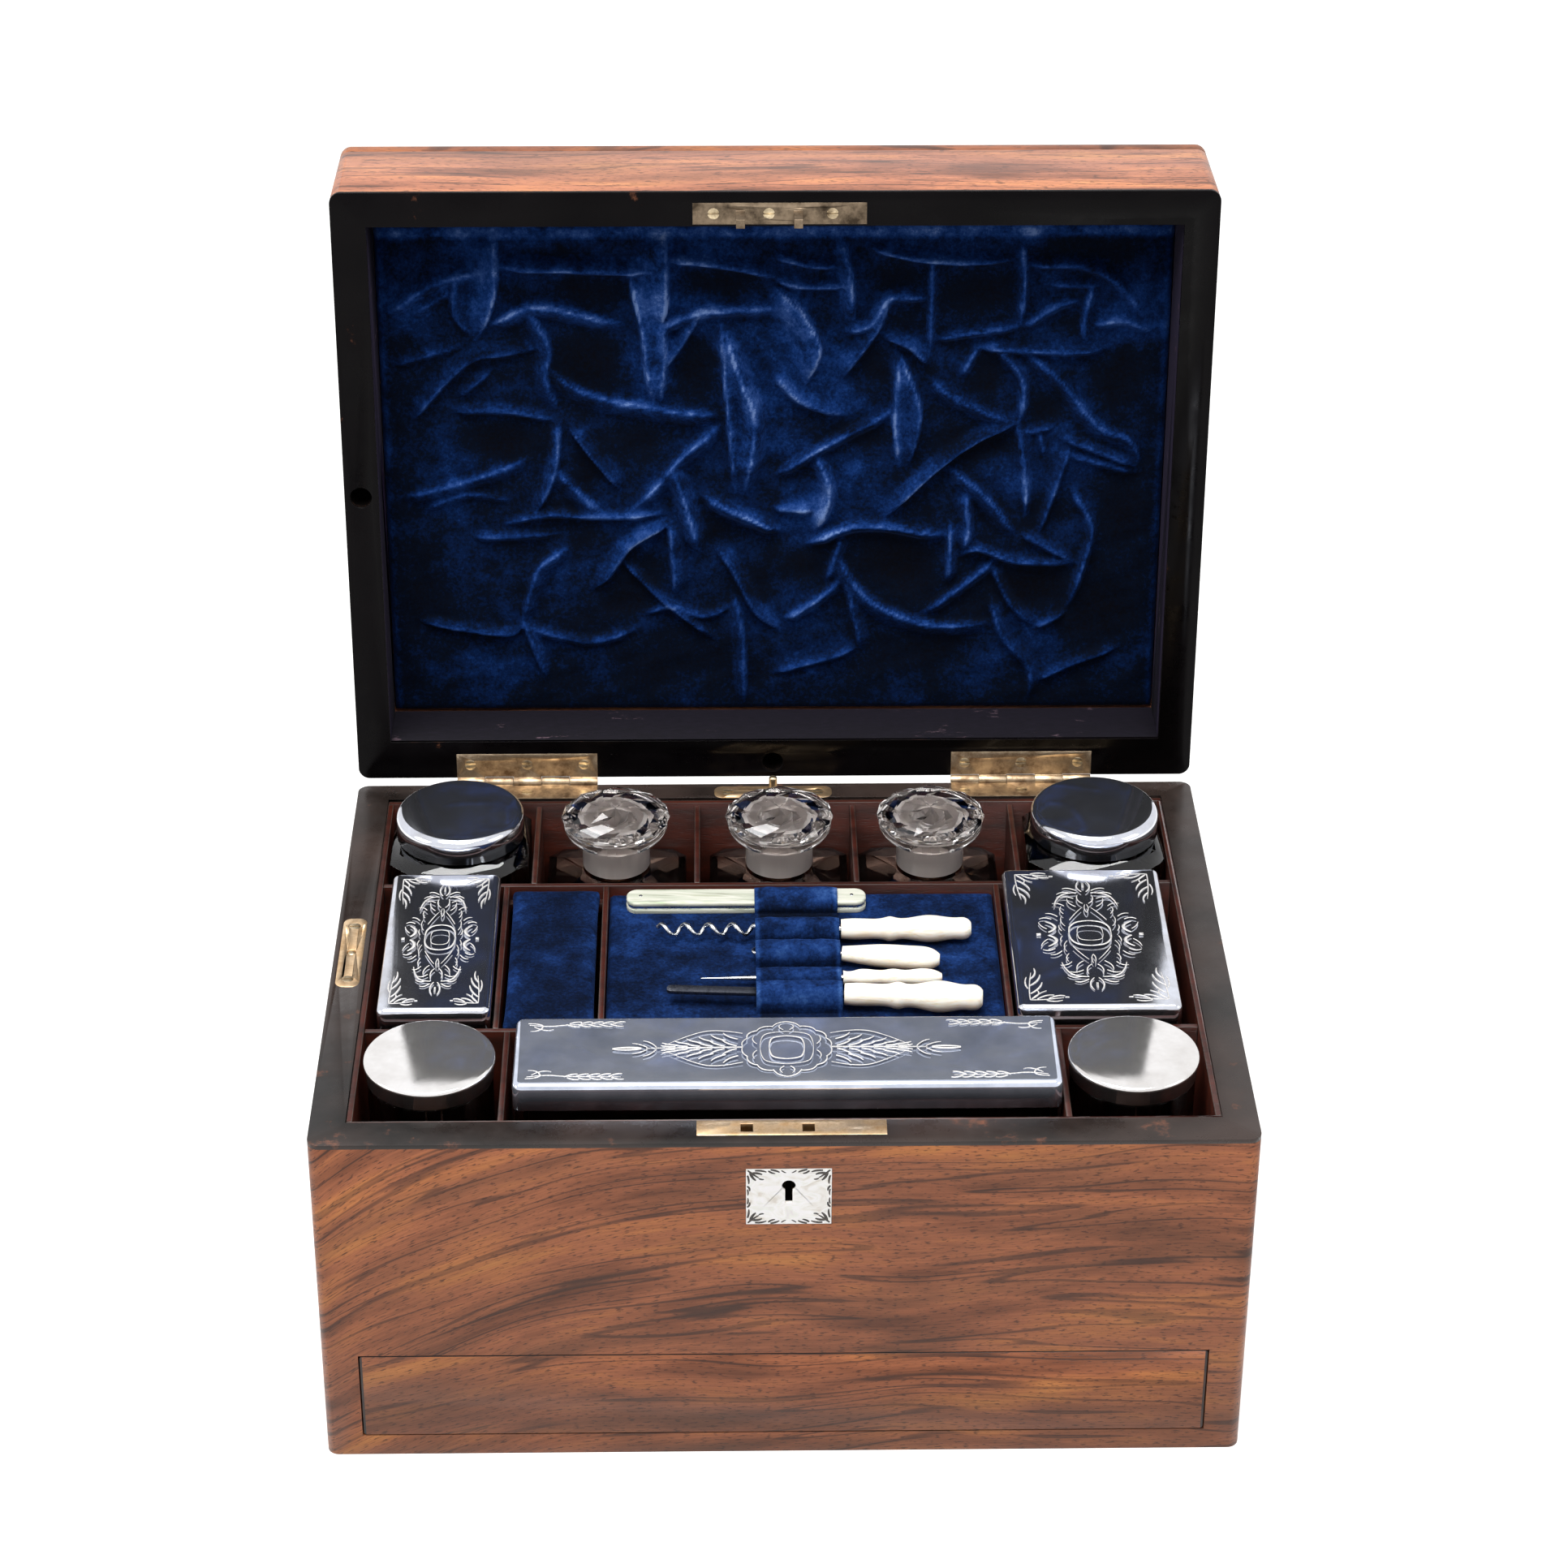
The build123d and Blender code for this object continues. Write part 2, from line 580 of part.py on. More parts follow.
def lid_rail(x0, x1, y0, y1, holes, screws):
    """One rail of the lid, bored for the pins and screws that enter it from the rim."""
    with BuildPart() as rail:
        with BuildSketch(LID.offset(LID_BOARD)):
            with Locations(((x0 + x1) / 2, (y0 + y1) / 2)):
                Rectangle(x1 - x0, y1 - y0)
            RectangleRounded(WIDTH, DEPTH, CORNER_R, mode=Mode.INTERSECT)
        extrude(amount=rail_top - LID_BOARD)
        for place in holes:
            bore(LID, place, LID_BOARD, LID_PIN_HOLE_R, -(LID_PIN_HOLE_H - BAND_T))
        for place in screws:
            bore(LID, place, LID_BOARD, SCREW_R, -(SCREW_L - BAND_T))
    return rail


lid_frame = [
    lid_rail(-WIDTH / 2, WIDTH / 2, FRONT, lid_inner_front, [], catch_screws),
    lid_rail(-WIDTH / 2, WIDTH / 2, lid_inner_back, BACK, [BACK_PIN], hinge_screws),
    lid_rail(-WIDTH / 2, -lid_inner_x, lid_inner_front, lid_inner_back, [SIDE_PIN], []),
    lid_rail(lid_inner_x, WIDTH / 2, lid_inner_front, lid_inner_back, [], []),
]
write_group(lid_frame, "lid_frame")

CATCH_X = 1.3
CATCH_W = 59.7
CATCH_D = 7.8
CATCH_Y = FRONT + 7.8
recess_x = lid_inner_x - LINING_T
recess_front = lid_inner_front + LINING_T
recess_back = lid_inner_back - LINING_T
catch_cut = (CATCH_X, CATCH_Y, CATCH_W, CATCH_D, 0)
pin_holes = [(BACK_PIN, LID_PIN_HOLE_R), (SIDE_PIN, LID_PIN_HOLE_R)]
lid_rim = rim_strips(
    LID, CASE_H, recess_x, recess_front, recess_back, leaf_cuts + [catch_cut], pin_holes
)
write_group(lid_rim, "lid_rim")

recess_top = CASE_H + RECESS_D
lid_lining = [
    board(-recess_x, recess_x, lid_inner_front, recess_front, LID_BOARD, recess_top, LID),
    board(-recess_x, recess_x, recess_back, lid_inner_back, LID_BOARD, recess_top, LID),
    board(-lid_inner_x, -recess_x, lid_inner_front, lid_inner_back, LID_BOARD, recess_top, LID),
    board(recess_x, lid_inner_x, lid_inner_front, lid_inner_back, LID_BOARD, recess_top, LID),
]
write_group(lid_lining, "lid_lining")

with BuildPart() as catch_plate:
    with BuildSketch(LID.offset(CASE_H)):
        with Locations((CATCH_X, CATCH_Y)):
            Rectangle(CATCH_W, CATCH_D)
    extrude(amount=BAND_T)
    for place in catch_screws:
        countersink(LID, place, CASE_H, LID_BOARD)
    with BuildSketch(LID.offset(CASE_H + 0.01)):
        with Locations(*[(x, LOCK_Y) for x in HOOK_XS]):
            Rectangle(HOOK_W, HOOK_D)
    extrude(amount=-HOOK_H)
    eye_w = BOLT_T + 2 * 0.2
    with BuildSketch(LID.offset(EYE_Z - EYE_H / 2)):
        with Locations(*[(x, LOCK_Y) for x in HOOK_XS]):
            Rectangle(HOOK_W + 1, eye_w)
    extrude(amount=EYE_H, mode=Mode.SUBTRACT)
write_piece(catch_plate.part, "catch_plate")


# ---- Ruched velvet panel: a board with its main gathered folds standing from it ----

# Each fold runs between two points of the lid, given from its front left corner: x, y, x, y, height
MAIN_FOLDS = (
    (55, 37, 112, 38, 4.0),
    (116, 33, 153, 40, 3.5),
    (54, 44, 49, 62, 4.5),
    (113, 42, 109, 88, 5.5),
    (60, 54, 98, 57, 3.5),
    (24, 93, 68, 67, 4.0),
    (72, 75, 134, 92, 4.0),
    (135, 60, 142, 122, 5.5),
    (38, 90, 74, 94, 3.0),
    (132, 97, 101, 128, 4.0),
    (18, 123, 64, 109, 3.5),
    (52, 133, 112, 131, 4.0),
    (127, 124, 162, 139, 5.0),
    (113, 136, 88, 160, 4.0),
    (97, 149, 130, 180, 4.0),
    (24, 174, 58, 178, 3.0),
    (186, 30, 236, 34, 3.5),
    (241, 28, 241, 57, 3.5),
    (178, 59, 207, 48, 4.0),
    (211, 63, 259, 51, 3.5),
    (243, 37, 284, 58, 3.5),
    (224, 67, 270, 68, 3.5),
    (196, 70, 201, 112, 4.5),
    (243, 70, 283, 113, 4.0),
    (153, 115, 192, 92, 4.0),
    (239, 96, 194, 131, 4.5),
    (217, 114, 240, 139, 4.0),
    (166, 141, 214, 139, 4.5),
    (222, 146, 262, 150, 4.0),
    (261, 122, 263, 166, 3.5),
    (177, 149, 230, 174, 4.0),
)
FOLD_W = 7.0
FOLD_ROOT = 0.6
FOLD_END = 0.35
CREST_SHARE = 0.4

panel_gap = 0.1
with BuildPart() as velvet_panel:
    with BuildSketch(LID.offset(recess_top)):
        panel_w = 2 * (lid_inner_x - panel_gap)
        panel_d = lid_inner_back - lid_inner_front - 2 * panel_gap
        with Locations((0, (lid_inner_front + lid_inner_back) / 2)):
            Rectangle(panel_w, panel_d)
    extrude(amount=PANEL_T)
    for x0, y0, x1, y1, height in MAIN_FOLDS:
        start = LID.from_local_coords(Vector(x0 - WIDTH / 2, y0 + FRONT, recess_top + FOLD_ROOT))
        finish = LID.from_local_coords(Vector(x1 - WIDTH / 2, y1 + FRONT, recess_top + FOLD_ROOT))
        along = (finish - start).normalized()
        across = along.cross(-LID.z_dir)
        for share, scale in ((0.0, FOLD_END), (0.5, 1.0), (1.0, FOLD_END)):
            half = FOLD_W / 2 * scale
            rise = height * scale + FOLD_ROOT
            centre = start + (finish - start) * share
            with BuildSketch(Plane(centre, x_dir=across, z_dir=along)):
                crest = half * CREST_SHARE
                shoulder = -rise + crest * CREST_SHARE
                with BuildLine():
                    Line((-half, 0), (half, 0))
                    Line((half, 0), (crest, shoulder))
                    ThreePointArc((crest, shoulder), (0, -rise), (-crest, shoulder))
                    Line((-crest, shoulder), (-half, 0))
                make_face()
        loft()
write_piece(velvet_panel.part, "velvet_panel")


# ---- Round silver-lidded jars and pots ----

JAR_W = 49.0
JAR_CHAMFER = 9.0
JAR_SHOULDER = 4.5
JAR_TOP = 129.0
JAR_NECK_R = 19.6
JAR_BORE_R = 17.2
GLASS_FOOT = 5.0
JAR_LID_R = 22.75
JAR_LID_Z = 129.7
JAR_LID_TOP = 140.4
JAR_LID_ROUND = 2.9
SILVER_T = 0.8
# the round lids are raised to a low dome; the neck's rim stops just under the inside of it
DOME_R = 160.0
SEAT_GAP = 0.02
JAR_DOME_FALL = DOME_R - SILVER_T - sqrt((DOME_R - SILVER_T) ** 2 - JAR_NECK_R**2)
JAR_NECK_TOP = JAR_LID_TOP - SILVER_T - JAR_DOME_FALL - SEAT_GAP
LID_PLAY = 0.4
JARS = {"jar_left": (-113.0, FRONT + 186.6), "jar_right": (113.8, FRONT + 186.6)}


def domed_cap(place, foot, top, radius, dome_r, edge_r):
    """A solid cap with a low domed top and a rounded edge."""
    with BuildPart() as cap:
        with BuildSketch(Plane.XY.offset(foot)):
            with Locations(place):
                Circle(radius)
        extrude(amount=top - foot)
        with Locations((*place, top - dome_r)):
            Sphere(dome_r, mode=Mode.INTERSECT)
        top_edge = cap.edges().filter_by(lambda edge: edge.is_closed).sort_by(Axis.Z)[-1]
        fillet(top_edge, edge_r)
    return cap.part


for name, place in JARS.items():
    with BuildPart() as jar:
        with BuildSketch(Plane.XY.offset(FLOOR_Z)):
            with Locations(place):
                Rectangle(JAR_W, JAR_W)
            chamfer(vertices(), JAR_CHAMFER)
        extrude(amount=JAR_TOP - FLOOR_Z)
        chamfer(jar.edges().group_by(Axis.Z)[-1], JAR_SHOULDER * 0.75)
        with BuildSketch(Plane.XY.offset(JAR_TOP)):
            with Locations(place):
                Circle(JAR_NECK_R)
        extrude(amount=JAR_NECK_TOP - JAR_TOP)
        bore(Plane.XY, place, JAR_NECK_TOP, JAR_BORE_R, JAR_NECK_TOP - FLOOR_Z - GLASS_FOOT)
    write_piece(jar.part, name)
    with BuildPart() as jar_lid:
        add(domed_cap(place, JAR_LID_Z, JAR_LID_TOP, JAR_LID_R, DOME_R, JAR_LID_ROUND))
        inner_r = JAR_LID_R - SILVER_T
        inner_top = JAR_LID_TOP - SILVER_T
        inner_round = JAR_LID_ROUND - SILVER_T
        hollow = domed_cap(place, JAR_LID_Z - 1, inner_top, inner_r, DOME_R - SILVER_T, inner_round)
        add(hollow, mode=Mode.SUBTRACT)
    write_piece(jar_lid.part, f"{name}_lid")

POT_R = 20.6
POT_TOP = 124.2
POT_NECK_R = 19.4
POT_BORE_R = 17.0
POT_LID_Z = 125.0
POT_LID_R = 21.0
POT_BEAD_R = 21.6
POT_BEAD_Z = 130.2
POT_LID_TOP = 133.2
POT_LID_ROUND = 1.2
POT_DOME_FALL = DOME_R - sqrt(DOME_R**2 - POT_LID_R**2)
POT_NECK_TOP = POT_LID_TOP - POT_DOME_FALL - SILVER_T
POTS = {"pot_left": (-115.6, FRONT + 42.2), "pot_right": (114.8, FRONT + 42.2)}

for name, place in POTS.items():
    with BuildPart() as pot:
        for z0, z1, radius in ((FLOOR_Z, POT_TOP, POT_R), (POT_TOP, POT_NECK_TOP, POT_NECK_R)):
            with BuildSketch(Plane.XY.offset(z0)):
                with Locations(place):
                    Circle(radius)
            extrude(amount=z1 - z0)
        bore(Plane.XY, place, POT_NECK_TOP, POT_BORE_R, POT_NECK_TOP - FLOOR_Z - GLASS_FOOT)
    write_piece(pot.part, name)
    with BuildPart() as pot_lid:
        with BuildSketch(Plane.XY.offset(POT_LID_Z)):
            with Locations(place):
                Circle(POT_LID_R)
        extrude(amount=POT_BEAD_Z - POT_LID_Z)
        add(domed_cap(place, POT_BEAD_Z, POT_LID_TOP, POT_BEAD_R, DOME_R, POT_LID_ROUND))
        bore(Plane.XY, place, POT_NECK_TOP, POT_LID_R - SILVER_T, POT_NECK_TOP - POT_LID_Z + 1)
    write_piece(pot_lid.part, f"{name}_lid")


# ---- Glass boxes with silver lids ----

BOX_LID_Z = 123.0
BOX_CORNER_R = 1.6
BOX_BEVEL = 1.6
BOX_WALL = 3.5
# place, width, depth, height of the lid's top, height of the foot
BOXES = {
    "box_left": ((-116.2, FRONT + 113.6), 38.0, 87.0, 131.0, SIDE_BOX_FOOT),
    "box_right": ((106.4, FRONT + 113.6), 55.2, 88.0, 131.2, SIDE_BOX_FOOT),
    "box_long": ((1.2, FRONT + 43.4), 178.4, 40.0, 132.8, LONG_BOX_FOOT),
}

for name, (place, width, depth, lid_top_z, foot) in BOXES.items():
    neck_w = width - 2 * (SILVER_T + LID_PLAY)
    neck_d = depth - 2 * (SILVER_T + LID_PLAY)
    neck_top = lid_top_z - SILVER_T - 0.8
    with BuildPart() as glass_box:
        with BuildSketch(Plane.XY.offset(foot)):
            with Locations(place):
                RectangleRounded(width - 0.6, depth - 0.6, BOX_CORNER_R)
        extrude(amount=BOX_LID_Z - 0.4 - foot)
        with BuildSketch(Plane.XY.offset(BOX_LID_Z - 0.4)):
            with Locations(place):
                RectangleRounded(neck_w, neck_d, BOX_CORNER_R)
        extrude(amount=neck_top - BOX_LID_Z + 0.4)
        with BuildSketch(Plane.XY.offset(neck_top)):
            with Locations(place):
                RectangleRounded(width - 2 * BOX_WALL, depth - 2 * BOX_WALL, BOX_CORNER_R)
        extrude(amount=-(neck_top - foot - GLASS_FOOT), mode=Mode.SUBTRACT)
    write_piece(glass_box.part, name)
    with BuildPart() as box_lid:
        with BuildSketch(Plane.XY.offset(BOX_LID_Z)):
            with Locations(place):
                RectangleRounded(width, depth, BOX_CORNER_R)
        extrude(amount=lid_top_z - BOX_LID_Z)
        chamfer(box_lid.edges().group_by(Axis.Z)[-1], BOX_BEVEL)
        with BuildSketch(Plane.XY.offset(BOX_LID_Z)):
            with Locations(place):
                RectangleRounded(width - 2 * SILVER_T, depth - 2 * SILVER_T, BOX_CORNER_R - SILVER_T / 2)
        extrude(amount=lid_top_z - BOX_BEVEL - BOX_LID_Z, mode=Mode.SUBTRACT)
    write_piece(box_lid.part, f"{name}_lid")


# ---- Scent bottles with mushroom stoppers ----

BOTTLE_W = 50.0
BOTTLE_D = 48.0
BOTTLE_CHAMFER = 5.0
BOTTLE_SHOULDER_Z = 107.0
BOTTLE_NECK_Z = 114.5
BOTTLE_NECK_R = 12.0
# the lip flares from the neck like a shallow bowl, and ends in an upright edge
LIP_R = 18.6
LIP_Z = 126.6
LIP_BOWL_R = 16.9
LIP_BOWL_Z = 129.0
LIP_EDGE_Z = 132.2
LIP_TOP = 133.0
PLUG_R = 6.3
PLUG_TIP_R = 5.2
PLUG_Z = 112.0
PLUG_PLAY = 0.3
STOPPER_R = 19.4
STOPPER_TOP = 139.6
# slope of each row of flats, and the height at which it meets the stopper's widest circle
MAIN_FLAT_SLOPE = 17.0
MAIN_FLAT_Z = 136.4
RIM_FLAT_SLOPE = 50.0
RIM_FLAT_Z = 135.4
BOTTLE_XS = (-57.6, 1.0, 55.2)
BOTTLE_Y = FRONT + 187.6

for number, x in enumerate(BOTTLE_XS, start=1):
    place = (x, BOTTLE_Y)
    with BuildPart() as bottle:
        with BuildSketch(Plane.XY.offset(FLOOR_Z)):
            with Locations(place):
                Rectangle(BOTTLE_W, BOTTLE_D)
            chamfer(vertices(), BOTTLE_CHAMFER)
        extrude(amount=BOTTLE_SHOULDER_Z - FLOOR_Z)
        with BuildSketch(Plane.XY.offset(BOTTLE_SHOULDER_Z)):
            with Locations(place):
                Rectangle(BOTTLE_W, BOTTLE_D)
            chamfer(vertices(), BOTTLE_CHAMFER)
        with BuildSketch(Plane.XY.offset(BOTTLE_NECK_Z)):
            with Locations(place):
                Rectangle(2 * BOTTLE_NECK_R, 2 * BOTTLE_NECK_R)
            chamfer(vertices(), BOTTLE_NECK_R * 0.58)
        loft(ruled=True)
        with BuildSketch(Plane.XY.offset(BOTTLE_NECK_Z)):
            with Locations(place):
                Circle(BOTTLE_NECK_R)
        extrude(amount=LIP_TOP - BOTTLE_NECK_Z)
        with BuildSketch(Plane.XZ.offset(-BOTTLE_Y)):
            with BuildLine():
                neck_end = (x + BOTTLE_NECK_R, LIP_Z)
                edge_start = (x + LIP_R, LIP_EDGE_Z)
                Line((x, LIP_Z), neck_end)
                ThreePointArc(neck_end, (x + LIP_BOWL_R, LIP_BOWL_Z), edge_start)
                Polyline(edge_start, (x + LIP_R, LIP_TOP), (x, LIP_TOP), (x, LIP_Z))
            make_face()
        revolve(axis=Axis((x, BOTTLE_Y, 0), (0, 0, 1)))
        with BuildSketch(Plane.XY.offset(FLOOR_Z + GLASS_FOOT)):
            with Locations(place):
                Rectangle(BOTTLE_W - 8, BOTTLE_D - 8)
        extrude(amount=BOTTLE_SHOULDER_Z - FLOOR_Z - GLASS_FOOT - 2, mode=Mode.SUBTRACT)
        bore(Plane.XY, place, LIP_TOP, PLUG_R + PLUG_PLAY, LIP_TOP - BOTTLE_SHOULDER_Z + 2)
    write_piece(bottle.part, f"bottle_{number}")
    with BuildPart() as stopper:
        with BuildSketch(Plane.XZ.offset(-BOTTLE_Y)):
            with BuildLine():
                Polyline(
                    (x, PLUG_Z),
                    (x + PLUG_TIP_R, PLUG_Z),
                    (x + PLUG_R, LIP_TOP),
                    (x + 9.0, LIP_TOP),
                    (x + STOPPER_R - 0.8, LIP_TOP + 1.5),
                    (x + STOPPER_R, LIP_TOP + 2.5),
                    (x + STOPPER_R, STOPPER_TOP),
                    (x, STOPPER_TOP),
                    close=True,
                )
            make_face()
        revolve(axis=Axis((x, BOTTLE_Y, 0), (0, 0, 1)))
        # the cut top: eight broad flats round an eight-sided table, over sixteen steep rim flats
        for sides, slope, girdle_z in ((8, MAIN_FLAT_SLOPE, MAIN_FLAT_Z), (16, RIM_FLAT_SLOPE, RIM_FLAT_Z)):
            for z in (PLUG_Z - 1, STOPPER_TOP + 0.1):
                reach = STOPPER_R + (girdle_z - z) / tan(radians(slope))
                with BuildSketch(Plane.XY.offset(z)):
                    with Locations(place):
                        RegularPolygon(reach, sides, major_radius=False)
            loft(ruled=True, mode=Mode.INTERSECT)
    write_piece(stopper.part, f"stopper_{number}")


# ---- Velvet pad and tool board ----

with BuildPart() as velvet_pad:
    pad_top = 124.6
    with BuildSketch(Plane.XY.offset(PAD_FOOT)):
        with Locations(((pad_cell[0] + pad_cell[1]) / 2, (pad_cell[2] + pad_cell[3]) / 2)):
            Rectangle(pad_cell[1] - pad_cell[0] - 0.8, pad_cell[3] - pad_cell[2] - 0.8)
    extrude(amount=pad_top - PAD_FOOT)
    fillet(velvet_pad.edges().group_by(Axis.Z)[-1], 2.0)
write_piece(velvet_pad.part, "velvet_pad")

BOARD_FACE = 121.5
with BuildPart() as tool_board:
    with BuildSketch(Plane.XY.offset(TOOL_BOARD_FOOT)):
        with Locations(((tool_cell[0] + tool_cell[1]) / 2, (tool_cell[2] + tool_cell[3]) / 2)):
            Rectangle(tool_cell[1] - tool_cell[0] - 0.8, tool_cell[3] - tool_cell[2] - 0.8)
    extrude(amount=BOARD_FACE - TOOL_BOARD_FOOT)
    fillet(tool_board.edges().group_by(Axis.Z)[-1], 1.0)
write_piece(tool_board.part, "tool_board")


# ---- Strap: a velvet band sewn down between five loops ----

STRAP_X = 6.2
STRAP_W = 29.0
STRAP_T = 1.0
# each loop: middle of the loop, half its clear width, height of its clear top
LOOPS = (
    (FRONT + 149.0, 5.4, BOARD_FACE + 4.9),
    (FRONT + 126.0, 3.2, BOARD_FACE + 7.9),
    (FRONT + 113.3, 4.2, BOARD_FACE + 6.6),
    (FRONT + 98.3, 2.8, BOARD_FACE + 5.6),
    (FRONT + 85.4, 4.4, BOARD_FACE + 8.0),
)
strap_ends = (tool_cell[2] + 1.6, tool_cell[3] - 1.6)
with BuildPart() as tool_strap:
    with BuildSketch(Plane.YZ.offset(STRAP_X - STRAP_W / 2)):
        with Locations(((strap_ends[0] + strap_ends[1]) / 2, BOARD_FACE + STRAP_T / 2)):
            Rectangle(strap_ends[1] - strap_ends[0], STRAP_T)
        for grow, mode in ((STRAP_T, Mode.ADD), (0.0, Mode.SUBTRACT)):
            for middle, half, top in LOOPS:
                radius = half + grow
                straight = top - BOARD_FACE - half
                if straight > 0:
                    with Locations((middle, BOARD_FACE + straight / 2)):
                        Rectangle(2 * radius, straight, mode=mode)
                    with Locations((middle, BOARD_FACE + straight)):
                        Circle(radius, mode=mode)
                else:
                    with Locations((middle, (BOARD_FACE + top + grow) / 2)):
                        Rectangle(2 * radius, top + grow - BOARD_FACE, mode=mode)
        with Locations(((strap_ends[0] + strap_ends[1]) / 2, BOARD_FACE - 10)):
            Rectangle(200, 20, mode=Mode.SUBTRACT)
    extrude(amount=STRAP_W)
write_piece(tool_strap.part, "tool_strap")


# ---- Tools: a turned handle on each, with its steel ----

def tool_plane(x, y, z, turn):
    """A plane whose X runs along a tool from the place where its handle begins."""
    return Plane(Location((x, FRONT + y, z), (0, 0, turn)))


def turned_handle(base, outline):
    """Revolve a handle from (along, radius) points, smooth from end to end."""
    along = base.x_dir
    with BuildPart() as handle:
        with BuildSketch(base):
            with BuildLine():
                Line((0, 0), outline[0])
                Spline(*outline)
                Line(outline[-1], (outline[-1][0], 0))
                Line((outline[-1][0], 0), (0, 0))
            make_face()
        revolve(axis=Axis(base.origin, along))
    return handle


def cut_tang(handle, base, radius, depth):
    """Bore the end of a handle for the tang of its steel."""
    with BuildPart() as bored:
        add(handle.part)
        with BuildSketch(Plane(base.origin, x_dir=base.y_dir, z_dir=base.x_dir)):
            Circle(radius)
        extrude(amount=depth, mode=Mode.SUBTRACT)
    return bored


TANG_L = 10.0
HANDLE_X = 21.4

# Corkscrew: a helix of quarter-turn biarcs, led back to its axis, on a straight shank
CORK_Y = 126.0
CORK_Z = 126.4
WORM_R = 1.9
WORM_WIRE_R = 0.75
WORM_PITCH = 8.2
WORM_TURNS = 4
WORM_TIP_X = -42.0
SHANK_R = 1.5


def biarc_middles(a, ta, b, tb):
    """The three inner points of two arcs that join a to b with the given end directions."""
    v = b - a
    t = ta + tb
    square = t.dot(t) - 4
    reach = (v.dot(t) - sqrt(v.dot(t) ** 2 - square * v.dot(v))) / square
    knee_a = a + ta * reach
    knee_b = b - tb * reach
    joint = (knee_a + knee_b) * 0.5
    middles = []
    for start, knee, finish in ((a, knee_a, joint), (joint, knee_b, b)):
        chord = (start + finish) * 0.5
        rise = knee - chord
        half = (finish - start).length / 2
        angle = atan2(rise.length, half)
        share = (sin(angle / 2) / cos(angle / 2)) / (sin(angle) / cos(angle))
        middles.append(chord + rise * share)
    return middles[0], joint, middles[1]


def worm_point(turns):
    """Point and direction on the worm after so many turns from its tip."""
    angle = 2 * pi * turns
    centre = Vector(WORM_TIP_X + WORM_PITCH * turns, FRONT + CORK_Y, CORK_Z)
    point = centre + Vector(0, WORM_R * cos(angle), WORM_R * sin(angle))
    slope = Vector(WORM_PITCH / (2 * pi), -WORM_R * sin(angle), WORM_R * cos(angle))
    return point, slope.normalized()


worm_stops = [worm_point(quarter / 4) for quarter in range(4 * WORM_TURNS + 1)]
shank_start = Vector(WORM_TIP_X + WORM_PITCH * WORM_TURNS + 3.5, FRONT + CORK_Y, CORK_Z)
worm_stops.append((shank_start, Vector(1, 0, 0)))
shank_end = Vector(HANDLE_X + TANG_L, FRONT + CORK_Y, CORK_Z)

with BuildPart() as corkscrew_steel:
    with BuildLine() as worm_path:
        for (a, ta), (b, tb) in zip(worm_stops, worm_stops[1:]):
            first, joint, second = biarc_middles(a, ta, b, tb)
            ThreePointArc(a, first, joint)
            ThreePointArc(joint, second, b)
        Line(shank_start, shank_end)
    with BuildSketch(Plane(worm_stops[0][0], z_dir=worm_stops[0][1])):
        Circle(WORM_WIRE_R)
    sweep()
    with BuildSketch(Plane.YZ.offset(shank_start.X + 2)):
        with Locations((FRONT + CORK_Y, CORK_Z)):
            Circle(SHANK_R)
    extrude(amount=shank_end.X - shank_start.X - 2)
write_piece(corkscrew_steel.part, "corkscrew_steel")

# least gap of the worm to itself, measured on points more than half a turn apart
samples = [worm_point(step / 60)[0] for step in range(60 * WORM_TURNS + 1)]
gap = min(
    (samples[i] - samples[j]).length for i in range(len(samples)) for j in range(i + 30, len(samples))
)
print(f"corkscrew worm: least gap to itself {gap - 2 * WORM_WIRE_R:.2f} mm")

cork_plane = tool_plane(HANDLE_X, CORK_Y, CORK_Z, 0)
cork_outline = [(0, 3.4), (8, 3.6), (15, 3.9), (17, 4.3), (19, 3.9), (30, 4.7), (40, 3.8), (43, 3.7), (45, 2.2)]
cork_handle = cut_tang(turned_handle(cork_plane, cork_outline), cork_plane, SHANK_R, TANG_L)
write_piece(cork_handle.part, "corkscrew_handle")

# Button hook: a wire shank bent into an open hook
HOOK_TOOL_Y = 111.4
HOOK_TOOL_Z = 125.8
HOOK_TOOL_TURN = -6.8
HOOK_BEND_R = 1.5
HOOK_WIRE_R = 0.7
hook_plane = tool_plane(HANDLE_X, HOOK_TOOL_Y, HOOK_TOOL_Z, HOOK_TOOL_TURN)
hook_reach = -29.0
with BuildPart() as hook_steel:
    with BuildLine(hook_plane) as hook_path:
        Line((TANG_L, 0), (hook_reach, 0))
        ThreePointArc((hook_reach, 0), (hook_reach - HOOK_BEND_R, -HOOK_BEND_R), (hook_reach, -2 * HOOK_BEND_R))
        Line((hook_reach, -2 * HOOK_BEND_R), (hook_reach + 1.2, -2 * HOOK_BEND_R))
    with BuildSketch(Plane(hook_path.wire() @ 0, z_dir=hook_path.wire() % 0)):
        Circle(HOOK_WIRE_R)
    sweep()
write_piece(hook_steel.part, "button_hook_steel")
hook_outline = [(0, 2.6), (4, 3.0), (14, 4.0), (24, 4.1), (31, 3.4), (33.5, 1.8)]
hook_handle = cut_tang(turned_handle(hook_plane, hook_outline), hook_plane, HOOK_WIRE_R, TANG_L)
write_piece(hook_handle.part, "button_hook_handle")

